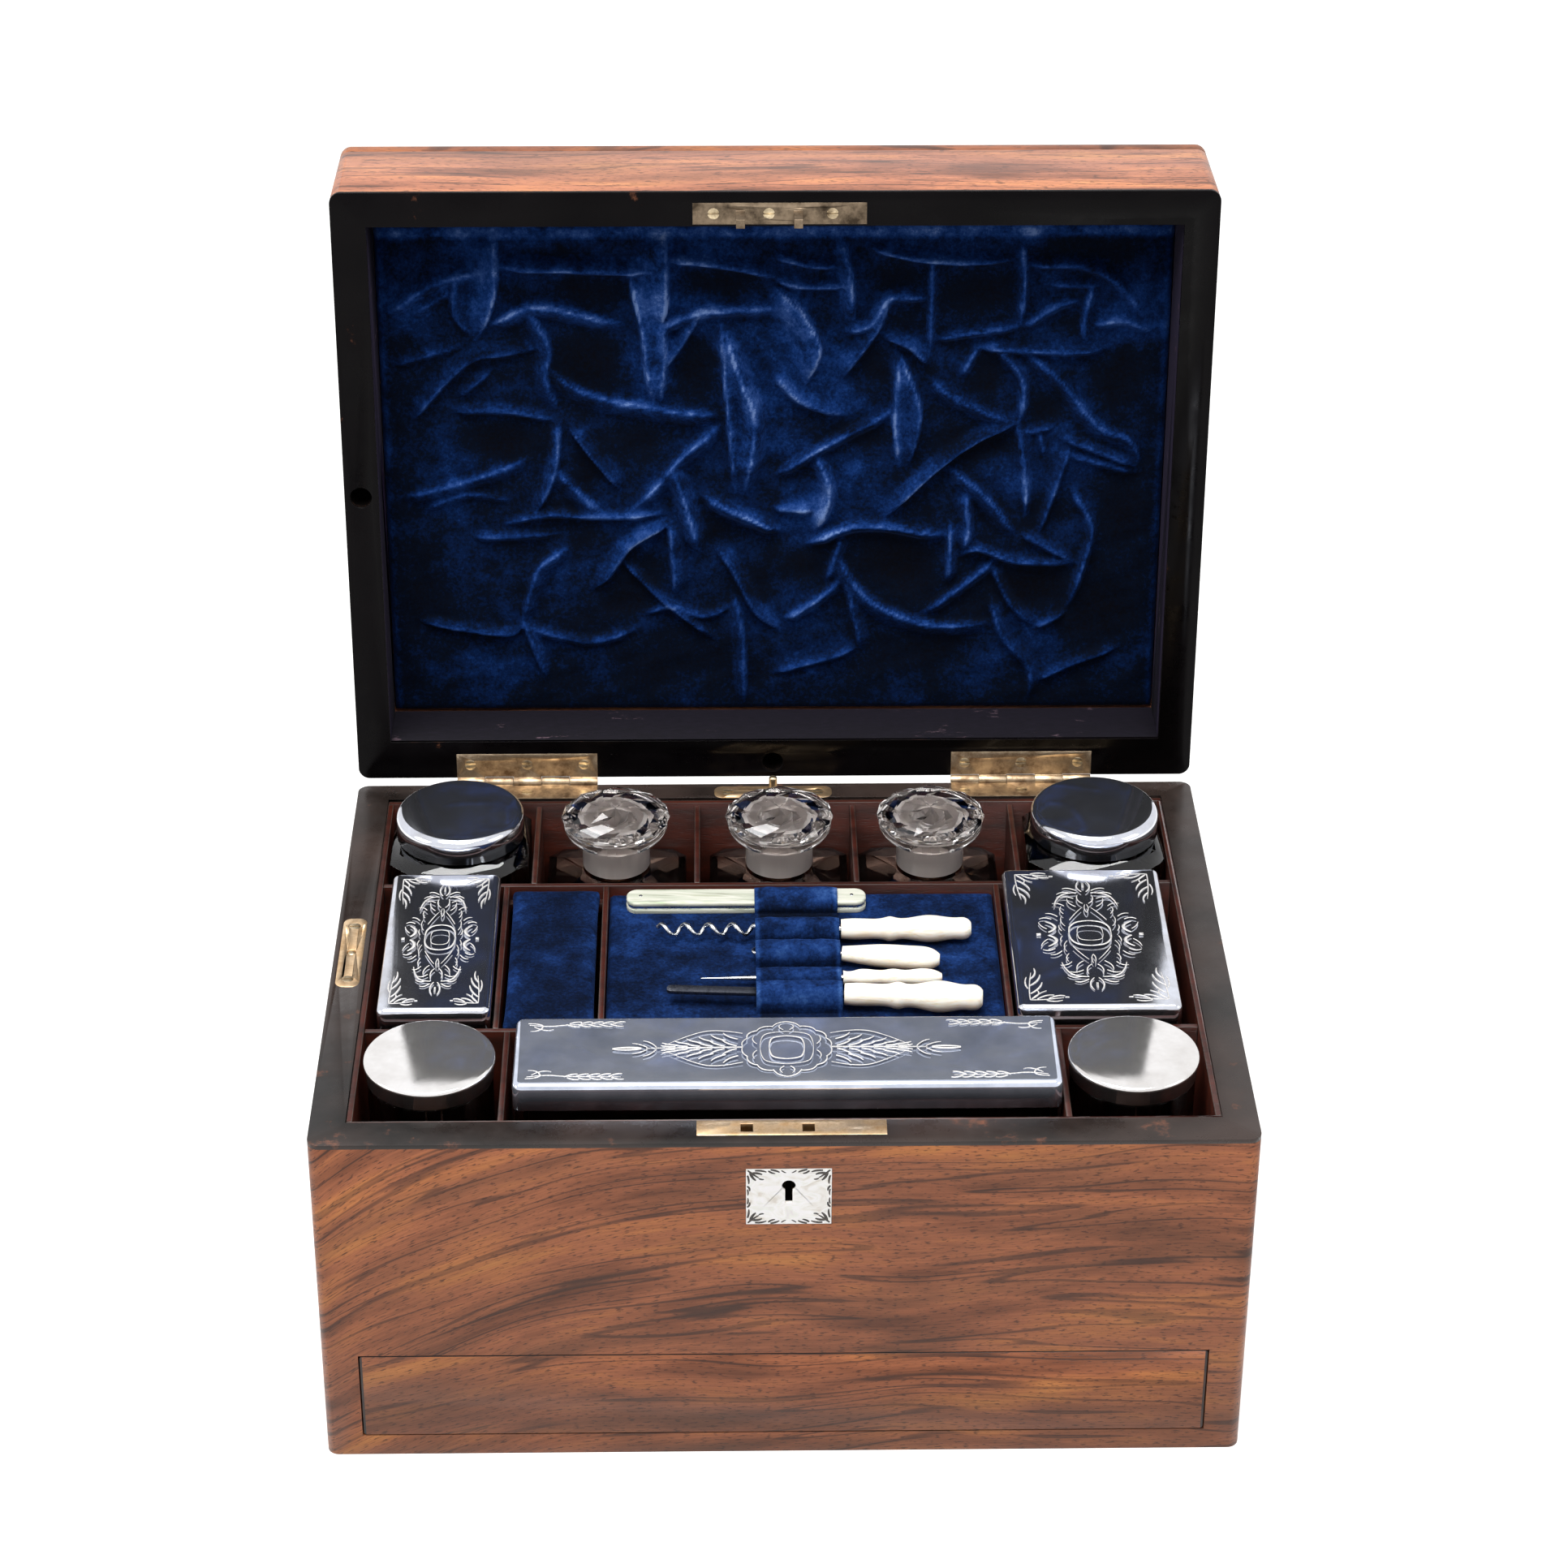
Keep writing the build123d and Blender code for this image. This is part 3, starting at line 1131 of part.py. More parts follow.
# Stiletto: a tapered needle
stiletto_plane = tool_plane(HANDLE_X, 98.3, 124.6, 0)
with BuildPart() as stiletto_steel:
    with BuildSketch(stiletto_plane):
        Polygon((TANG_L, 0), (TANG_L, 1.1), (-30, 0.9), (-48.5, 0.15), (-48.5, 0), align=None)
    revolve(axis=Axis(stiletto_plane.origin, stiletto_plane.x_dir))
write_piece(stiletto_steel.part, "stiletto_steel")
stiletto_outline = [(0, 2.4), (3, 2.2), (5, 2.7), (14, 2.5), (17, 2.9), (20, 2.5), (26, 2.9), (31, 2.4), (33.6, 1.2)]
stiletto_handle = cut_tang(turned_handle(stiletto_plane, stiletto_outline), stiletto_plane, 1.1, TANG_L)
write_piece(stiletto_handle.part, "stiletto_handle")

# Nail file: a flat blade on a round tang
FILE_TURN = -3.4
FILE_L = 52.0
FILE_W = 3.8
FILE_T = 1.2
FILE_TANG_R = 1.4
file_plane = tool_plane(HANDLE_X, 84.4, 127.1, FILE_TURN)
with BuildPart() as file_steel:
    with BuildSketch(file_plane.offset(-FILE_T / 2)):
        with Locations((-FILE_L / 2 - 8, 0)):
            Rectangle(FILE_L, FILE_W)
        fillet(vertices(), 1.6)
    extrude(amount=FILE_T)
    with BuildSketch(Plane(file_plane.origin, x_dir=file_plane.y_dir, z_dir=file_plane.x_dir).offset(TANG_L)):
        Circle(FILE_TANG_R)
    extrude(amount=-(TANG_L + 10))
write_piece(file_steel.part, "nail_file_steel")
file_outline = [(0, 3.6), (9, 3.8), (16, 4.2), (18, 4.6), (20, 4.2), (32, 5.4), (41, 4.3), (44, 4.3), (46.5, 2.6)]
file_handle = cut_tang(turned_handle(file_plane, file_outline), file_plane, FILE_TANG_R, TANG_L)
write_piece(file_handle.part, "nail_file_handle")

# Penknife: two pearl scales on a steel body, folded
KNIFE_L = 84.0
KNIFE_W = 9.5
KNIFE_R = 4.0
KNIFE_PLACE = (-11.2, FRONT + 149.0)
KNIFE_T = 4.5
KNIFE_SCALE_T = 1.5
scales = []
for foot in (BOARD_FACE, BOARD_FACE + KNIFE_T - KNIFE_SCALE_T):
    with BuildPart() as scale:
        with BuildSketch(Plane.XY.offset(foot)):
            with Locations(KNIFE_PLACE):
                RectangleRounded(KNIFE_L, KNIFE_W, KNIFE_R)
        extrude(amount=KNIFE_SCALE_T)
    scales.append(scale)
with BuildPart() as top_scale:
    add(scales[1].part)
    fillet(top_scale.edges().group_by(Axis.Z)[-1], 0.9)
write_group([scales[0], top_scale], "penknife_scales")
with BuildPart() as penknife_steel:
    with BuildSketch(Plane.XY.offset(BOARD_FACE + KNIFE_SCALE_T)):
        with Locations(KNIFE_PLACE):
            RectangleRounded(KNIFE_L - 0.8, KNIFE_W - 0.8, KNIFE_R - 0.4)
    extrude(amount=KNIFE_T - 2 * KNIFE_SCALE_T)
write_piece(penknife_steel.part, "penknife_steel")
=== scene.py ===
import math

import bmesh
import bpy
import numpy as np
from mathutils import Matrix, Vector


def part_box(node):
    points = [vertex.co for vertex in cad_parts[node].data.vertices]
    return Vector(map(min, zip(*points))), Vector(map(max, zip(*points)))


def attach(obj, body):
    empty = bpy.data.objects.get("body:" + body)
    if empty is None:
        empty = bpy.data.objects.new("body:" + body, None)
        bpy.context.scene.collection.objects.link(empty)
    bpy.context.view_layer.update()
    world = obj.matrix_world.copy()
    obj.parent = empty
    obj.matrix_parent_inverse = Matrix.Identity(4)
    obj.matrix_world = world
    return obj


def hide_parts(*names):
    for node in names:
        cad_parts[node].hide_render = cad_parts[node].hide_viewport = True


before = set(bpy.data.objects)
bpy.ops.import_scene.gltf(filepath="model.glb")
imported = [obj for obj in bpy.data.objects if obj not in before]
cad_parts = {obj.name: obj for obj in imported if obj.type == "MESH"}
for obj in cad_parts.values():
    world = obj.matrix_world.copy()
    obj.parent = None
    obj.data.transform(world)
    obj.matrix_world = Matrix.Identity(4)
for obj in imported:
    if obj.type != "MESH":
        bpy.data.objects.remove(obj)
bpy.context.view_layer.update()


# ---- Case boards ----
# Front, back, two sides and a base of Brazilian rosewood veneer on a softwood ground, rubbed up
# with shellac. The front's veneer sweeps up from the lower left and runs out level to the right.
MM = 0.001
WIDTH = 0.305
DEPTH = 0.225
FRONT = -DEPTH / 2
BACK = DEPTH / 2
CASE_H = 0.1265


def linear(code):
    """An sRGB hex colour as the linear light that Blender works in."""
    parts = [int(code[place:place + 2], 16) / 255 for place in (1, 3, 5)]
    lit = [part / 12.92 if part <= 0.04045 else ((part + 0.055) / 1.055) ** 2.4 for part in parts]
    return (*lit, 1.0)


def plug(tree, made, inputs):
    """Fill a node's inputs: each with a socket, a node's first output, a hex colour or a value."""
    for name, value in inputs.items():
        if isinstance(value, bpy.types.Node):
            value = value.outputs[0]
        if isinstance(value, bpy.types.NodeSocket):
            tree.links.new(value, made.inputs[name])
        else:
            made.inputs[name].default_value = linear(value) if isinstance(value, str) else value


def node(tree, kind, inputs, **settings):
    """One shader node, with its settings and inputs."""
    made = tree.nodes.new("ShaderNode" + kind)
    for name, value in settings.items():
        setattr(made, name, value)
    plug(tree, made, inputs)
    return made


def ramp(tree, level, stops):
    """A level turned into colours, or into other levels, by stops along a ramp."""
    made = node(tree, "ValToRGB", {0: level})
    while len(made.color_ramp.elements) < len(stops):
        made.color_ramp.elements.new(0.5)
    for element, (place, colour) in zip(made.color_ramp.elements, stops):
        element.position = place
        element.color = linear(colour) if isinstance(colour, str) else (colour, colour, colour, 1.0)
    return made


def maths(tree, operation, *values):
    """One sum on levels."""
    return node(tree, "Math", dict(enumerate(values)), operation=operation)


def blend(tree, part, under, over, **settings):
    """One colour laid over another, as far as part says."""
    inputs = {0: part, 6: under, 7: over}
    return node(tree, "Mix", inputs, data_type="RGBA", **settings).outputs[2]


def relief(tree, height, depth, strength, **settings):
    """A fine roughness of the surface, so many mm deep."""
    inputs = {"Height": height, "Distance": depth * MM, "Strength": strength}
    return node(tree, "Bump", inputs, **settings)


def new_finish(name):
    """An empty finish, with its tree and its surface shader."""
    made = bpy.data.materials.new(name)
    made.use_nodes = True
    return made, made.node_tree, made.node_tree.nodes["Principled BSDF"]


VENEER_BROWNS = (
    (0.30, "#57311f"), (0.42, "#74432b"), (0.52, "#885033"), (0.62, "#975b33"), (0.74, "#a66a36"),
)
CLIMB = 0.062
SWAY = 0.020
FACING_SIDE = 0.7


def rosewood(name, turn, sweep, shift, lift=0.0, side_turn=None, shine=0.24, rich=0.97):
    """Rosewood veneer under shellac: X of the turned coordinates runs along the grain.

    On a frame of four rails, side_turn lays the grain along the two that face left and right.
    """
    finish, tree, shader = new_finish(name)
    coords = node(tree, "TexCoord", {})
    place = coords.outputs["Object"]
    turned = node(tree, "Mapping", {"Vector": place, "Rotation": turn, "Location": shift})
    if side_turn:
        facing = node(tree, "SeparateXYZ", {0: coords.outputs["Normal"]})
        sideways = maths(tree, "GREATER_THAN", maths(tree, "ABSOLUTE", facing), FACING_SIDE)
        side = node(tree, "Mapping", {"Vector": place, "Rotation": side_turn, "Location": shift})
        inputs = {0: sideways, 4: turned, 5: side}
        turned = node(tree, "Mix", inputs, data_type="VECTOR").outputs[1]
    split = node(tree, "SeparateXYZ", {0: turned})
    # the figure climbs over the first few centimetres and then levels out
    fall = maths(tree, "EXPONENT", maths(tree, "MULTIPLY", split, -1 / CLIMB))
    bend = maths(tree, "MULTIPLY_ADD", fall, sweep, split.outputs[1])
    sway = node(tree, "TexNoise", {"Vector": turned, "Scale": 9.0, "Detail": 1.0})
    swayed = maths(tree, "MULTIPLY_ADD", sway, SWAY, bend)
    figure = node(tree, "CombineXYZ", {0: split, 1: swayed, 2: split.outputs[2]})

    def figured(scale, detail, rough=0.5, shift=(0, 0, 0)):
        """Noise drawn out along the figure."""
        place = node(tree, "Mapping", {"Vector": figure, "Scale": scale, "Location": shift})
        inputs = {"Vector": place, "Scale": 1.0, "Detail": detail, "Roughness": rough}
        return node(tree, "TexNoise", inputs)

    # broad bands of colour, about 12 mm across and 60 mm long
    broad = figured((14, 80, 14), 3.0, 0.6)
    ground = ramp(tree, broad, VENEER_BROWNS)
    # fibres, finer than a millimetre across
    fibre = ramp(tree, figured((60, 1500, 400), 4.0), ((0.3, 0.76), (0.7, 1.12)))
    fibred = blend(tree, 1.0, ground, fibre, blend_type="MULTIPLY")
    # smoky purple-brown clouds that follow the figure
    cloud = figured((9, 46, 9), 4.0, 0.52, (3, 5, 1))
    clouded = blend(tree, ramp(tree, cloud, ((0.50, 0.0), (0.74, 0.5))), fibred, "#573c2b")
    # ink lines: narrow bands of a stretched noise, some strong and some faint
    line = figured((2.4, 46, 5), 3.0, 0.55, (7, 2, 4))
    wave = maths(tree, "PINGPONG", maths(tree, "MULTIPLY", line, 9.0), 0.5)
    thread = ramp(tree, wave, ((0.0, 1.0), (0.045, 0.85), (0.09, 0.0)))
    strength = ramp(tree, broad, ((0.34, 1.0), (0.62, 0.5)))
    inked = blend(tree, maths(tree, "MULTIPLY", thread, strength), clouded, "#38241c")
    # open pores: dashes about 0.3 mm wide and 3 mm long, drawn twice as wide so that they show
    pore = ramp(tree, figured((330, 1600, 1600), 2.0), ((0.57, 0.0), (0.65, 0.72)))
    toned = {"Color": blend(tree, pore, inked, "#331f18"), "Value": 1.0 + lift, "Saturation": rich}
    plug(tree, shader, {
        "Base Color": node(tree, "HueSaturation", toned),
        "Normal": relief(tree, pore, 0.06, 0.5, invert=True),
        "Roughness": ramp(tree, cloud, ((0.3, 0.30), (0.7, 0.44))),
        "Specular IOR Level": shine,
        "Coat Weight": 0.03,
        "Coat Roughness": 0.15,
    })
    return finish


def turned_coords(tree, scale, turn=(0, 0, 0), shift=(0, 0, 0)):
    """The piece's own coordinates, turned to lie along its grain and stretched."""
    place = node(tree, "TexCoord", {}).outputs["Object"]
    turned = node(tree, "Mapping", {"Vector": place, "Rotation": turn, "Location": shift})
    scale = scale if isinstance(scale, tuple) else (scale, scale, scale)
    return node(tree, "Mapping", {"Vector": turned, "Scale": scale})


def noise(tree, scale, detail=2.0, rough=0.5, turn=(0, 0, 0), shift=(0, 0, 0), warp=0.0, size=1.0):
    """Noise over a piece, of about scale spots to the metre."""
    place = turned_coords(tree, scale, turn, shift)
    inputs = {"Vector": place, "Scale": size, "Detail": detail, "Roughness": rough}
    return node(tree, "TexNoise", {**inputs, "Distortion": warp})


def speckled(name, scale, detail, stops, surface):
    """A finish that varies in small specks between its stops."""
    finish, tree, shader = new_finish(name)
    plug(tree, shader, {"Base Color": ramp(tree, noise(tree, scale, detail), stops), **surface})
    return finish


WELD_GAP = 0.01 * MM
ARRIS_ANGLE = math.radians(35)


def dress_node(name, finish, edge=0.0, edge_finish=None, crisp=None):
    """Give a frame piece its finish, soften its arrises, and keep facets above crisp flat."""
    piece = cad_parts[name]
    if not piece.material_slots:
        piece.data.materials.append(finish)
    for spot in piece.material_slots:
        spot.material = finish
    piece.data.shade_smooth()
    piece.modifiers.new("weld", "WELD").merge_threshold = WELD_GAP
    if edge:
        soften = piece.modifiers.new("arris", "BEVEL")
        soften.width = edge
        soften.segments = 2
        soften.limit_method = "ANGLE"
        soften.angle_limit = ARRIS_ANGLE
        soften.harden_normals = True
        if edge_finish:
            piece.data.materials.append(edge_finish)
            soften.material = len(piece.data.materials) - 1
    if crisp:
        piece.modifiers.new("facets", "EDGE_SPLIT").split_angle = crisp


ARRIS = 0.35 * MM
WORN_ARRIS = 0.9 * MM
QUARTER = math.pi / 2
veneer_front = rosewood("rosewood_front", (QUARTER, 0, 0), -0.052, (WIDTH / 2, 0.01, 0), 0.14)
veneer_side = rosewood("rosewood_side", (-QUARTER, -QUARTER, 0), 0.012, (0.11, 0.3, 0))
veneer_back = rosewood("rosewood_back", (QUARTER, 0, 0), 0.01, (0.4, 0.7, 0.2))
# the arrises of the front and of the drawer opening are painted dark, as the shade in the gap round
# the drawer
arris_shade_tones = ((0.35, "#0c0504"), (0.7, "#2e1b12"))
arris_painted_shade = speckled("rosewood_arris_painted_shade", 260, 4.0, arris_shade_tones, {"Roughness": 0.5})
dress_node("case_front", veneer_front, WORN_ARRIS, arris_painted_shade)
# the bores for the key and the pins are painted black inside, as painted shadow
bore_shadow_tones = ((0.4, "#030202"), (0.7, "#0c0806"))
shadow_surface = {"Roughness": 0.9, "Specular IOR Level": 0.05}
bore_painted_shadow = speckled("bore_painted_shadow", 900, 2.0, bore_shadow_tones, shadow_surface)


def shade_bore(name, inside):
    """Paint black the faces of a frame piece whose middle passes a test, as the shadow inside a
    bore.
    """
    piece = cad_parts[name]
    piece.data.materials.append(bore_painted_shadow)
    for face in piece.data.polygons:
        if inside(piece.matrix_world @ face.center):
            face.material_index = len(piece.data.materials) - 1


KEY_X = 0.0012
KEY_LOW = 0.1010
KEY_HIGH = 0.1125
KEY_R = 0.0028
KEY_DEPTH = 0.1 * MM


def in_keyhole(spot):
    """Whether a point lies in the keyhole behind the face of the front."""
    in_front = abs(spot.x - KEY_X) < KEY_R and KEY_LOW < spot.z < KEY_HIGH
    return in_front and spot.y > FRONT + KEY_DEPTH


shade_bore("case_front", in_keyhole)
dress_node("case_back", veneer_back, ARRIS)
dress_node("case_sides", veneer_side, ARRIS)


# ---- Bottom, dust board and drawer ----
# Mahogany boards planed and left dull. The drawer's front is cut from the same veneer as the case
# front, so the figure runs across it; its bottom is lined with blue velvet.

def mahogany(name, dark, light, rough):
    """Mahogany: straight-grained red-brown, with short dark pores, waxed and not polished."""
    finish, tree, shader = new_finish(name)
    tone = ramp(tree, noise(tree, (25, 160, 160), 5.0, 0.6), ((0.3, dark), (0.7, light)))
    pore = ramp(tree, noise(tree, (260, 2600, 2600)), ((0.56, 0.0), (0.7, 0.6)))
    plug(tree, shader, {
        "Base Color": blend(tree, pore, tone, "#1c0d08"),
        "Normal": relief(tree, pore, 0.08, 0.6, invert=True),
        "Roughness": rough,
    })
    return finish


dull_board = mahogany("mahogany_planed", "#3b2116", "#5d3624", 0.6)
dress_node("base_boards", dull_board, ARRIS)
dress_node("drawer_box", dull_board, ARRIS)
veneer_drawer = rosewood("rosewood_drawer", (QUARTER, 0, 0), -0.03, (WIDTH / 2, 0.02, 0), 0.04)
dress_node("drawer_front", veneer_drawer, 0.8 * MM, arris_painted_shade)


# ---- Banding round the two rims ----
# Strips of pearwood stained black and polished, mitred at the corners. The arrises have rubbed
# through to the brown wood, and the polish is scuffed grey in places.

def ebonised(name, worn, deep="#0c0a0b", faded="#1d191a", shine=0.5):
    """Black-stained, polished wood; worn is how much of it has rubbed brown."""
    finish, tree, shader = new_finish(name)
    rub = noise(tree, 60, 8.0, 0.7)
    rub_part = ramp(tree, rub, ((0.66 - worn, 0.0), (0.74 - worn * 0.5, 0.9)))
    black = ramp(tree, noise(tree, 60, 4.0, size=0.35), ((0.35, deep), (0.65, faded)))
    plug(tree, shader, {
        "Base Color": blend(tree, rub_part, black, "#6b4331"),
        "Roughness": ramp(tree, rub, ((0.35, 0.20), (0.7, 0.5))),
        "Normal": relief(tree, rub, 0.05, 0.35),
        "Specular IOR Level": shine,
    })
    return finish


RIM_ARRIS = 0.4 * MM
black_rim = ebonised("ebonised_pearwood", 0.0, "#030203", "#080607", 0.06)
faded_rim = ebonised("ebonised_pearwood_faded", 0.05, "#14110f", "#342a26", 0.34)
rubbed_rim = ebonised("ebonised_rubbed_arris", 0.07, shine=0.2)
dress_node("case_rim", faded_rim, RIM_ARRIS, rubbed_rim)
dress_node("lid_rim", black_rim, RIM_ARRIS, rubbed_rim)


# ---- Liner and partitions ----
# Thin mahogany boards slotted together. Their top edges are rubbed pale where the fittings have
# slid over them, and the liner stands a little below the rim.
compartment_wood = mahogany("mahogany_waxed", "#1f0a05", "#44190e", 0.38)
pale_edge = mahogany("mahogany_rubbed_edge", "#1a110e", "#45362f", 0.5)
THIN_ARRIS = 0.3 * MM
for name in ("liner_boards", "compartment_boards"):
    dress_node(name, compartment_wood, THIN_ARRIS, pale_edge)


# ---- Brass: hinges, lock, catch, plates, pins and screws ----
# Cast and filed brass that was once lacquered. It has gone dull and brown in the corners and is
# rubbed bright on top.

def brass(name, bright, dull, rough):
    """Old brass: warm yellow metal under patches of brown tarnish, with fine scratches."""
    finish, tree, shader = new_finish(name)
    patch = noise(tree, 150, 6.0, 0.65)
    scratch = noise(tree, (500, 9000, 9000), turn=(0, 0, 0.3))
    plug(tree, shader, {
        "Base Color": ramp(tree, patch, ((0.34, dull), (0.6, bright))),
        "Roughness": ramp(tree, patch, ((0.3, rough + 0.25), (0.65, rough))),
        "Normal": relief(tree, scratch, 0.02, 0.4),
        "Metallic": 1.0,
    })
    return finish


plate_brass = brass("brass_plate", "#f0d2aa", "#b8946a", 0.30)
catch_brass = brass("brass_catch", "#82725f", "#40362b", 0.42)
hinge_brass = brass("brass_hinge", "#b9a58a", "#6a543e", 0.30)
screw_brass = brass("brass_screw", "#e0cdaa", "#5a4731", 0.28)
PLATE_ARRIS = 0.12 * MM
SCREW_ARRIS = 0.05 * MM
PIN_ARRIS = 0.1 * MM
dress_node("catch_plate", catch_brass, PLATE_ARRIS)
for name in ("lock_case", "pin_plates"):
    dress_node(name, plate_brass, PLATE_ARRIS)
for name in ("hinge_leaves_case", "hinge_leaves_lid", "drawer_staple"):
    dress_node(name, hinge_brass, PLATE_ARRIS)
for name in ("case_screws", "lid_screws"):
    dress_node(name, screw_brass, SCREW_ARRIS)
for name in ("back_pin", "side_pin", "lock_bolt"):
    dress_node(name, screw_brass, PIN_ARRIS)


# ---- Lid: top board and four rails ----
# The lid is veneered like the case. It stands open against the stops of its hinges, so what is
# given here in the shut lid's measures is turned with it.
PIVOT_Y = BACK + 0.002
PIVOT_Z = CASE_H
OPEN_ANGLE = math.radians(92.8)
LID_TURN = (
    Matrix.Translation((0, PIVOT_Y, PIVOT_Z))
    @ Matrix.Rotation(-OPEN_ANGLE, 4, "X")
    @ Matrix.Translation((0, -PIVOT_Y, -PIVOT_Z))
)
CRISP_WOOD = math.radians(25)
# the lid's veneer is painted lighter than the case's, as painted light: when the lid is open its
# front rail faces the lamp above
veneer_lid_painted_light = rosewood(
    "rosewood_lid", (0, 0, 0), 0.004, (0.9, 0.2, 0.4), 0.5, (0, QUARTER, 0), shine=0.42, rich=0.9
)
dress_node("lid_frame", veneer_lid_painted_light, ARRIS, crisp=CRISP_WOOD)
PIN_SPOTS = (Vector((-0.0008, 0.1067)), Vector((-0.1467, 0.0005)))
PIN_BORE_R = 4.3 * MM


def in_pin_bore(spot):
    """Whether a point lies in one of the two bores that take the case's pins when the lid shuts."""
    shut = LID_TURN.inverted() @ spot
    near = min((shut.xy - pin).length for pin in PIN_SPOTS)
    return near < PIN_BORE_R and shut.z > CASE_H + 0.2 * MM


shade_bore("lid_frame", in_pin_bore)
shade_bore("lid_rim", in_pin_bore)
veneer_top = rosewood("rosewood_lid_top", (QUARTER, 0, 0), 0.01, (1.3, 0.5, 0.1), 0.05)
dress_node("lid_top", veneer_top, ARRIS)


# ---- Lining of the lid's recess ----
# Strips of dark purple paper-backed velvet glued to the inside of the rails. They are rubbed to a
# pinkish brown where the fittings have knocked them.
purple_strip, tree, shader = new_finish("purple_lining_paper")
nap = noise(tree, (300, 900, 900), 4.0, 0.7)
nap_tone = ramp(tree, nap, ((0.3, "#040307"), (0.62, "#0c0911"), (0.8, "#1b1521")))
knock = noise(tree, (48, 110, 110), 7.0, 0.75, shift=(0.051, 0.02, 0.01))
plug(tree, shader, {
    "Base Color": blend(tree, ramp(tree, knock, ((0.62, 0.0), (0.70, 0.8))), nap_tone, "#6b5660"),
    "Roughness": 0.7,
    "Specular IOR Level": 0.2,
    "Sheen Weight": 0.08,
    "Sheen Roughness": 0.5,
    "Sheen Tint": "#6a5a86",
})
dress_node("lid_lining", purple_strip, THIN_ARRIS)


# ---- Ruched velvet panel ----
# A sheet of blue silk velvet, gathered by hand into crossing pleats, stitched to a board and
# pressed into the lid. Its pile is crushed in patches; its colour is painted lighter along the
# pleats, as painted light and highlight, and darker in the hollows, as painted shade.
PANEL_X = WIDTH / 2 - 0.0121
PANEL_FRONT = FRONT + 0.0123
PANEL_BACK = BACK - 0.0147
PANEL_FACE = CASE_H + 0.0255
PANEL_STEP = 0.93 * MM
PANEL_TUCK = 2.2 * MM

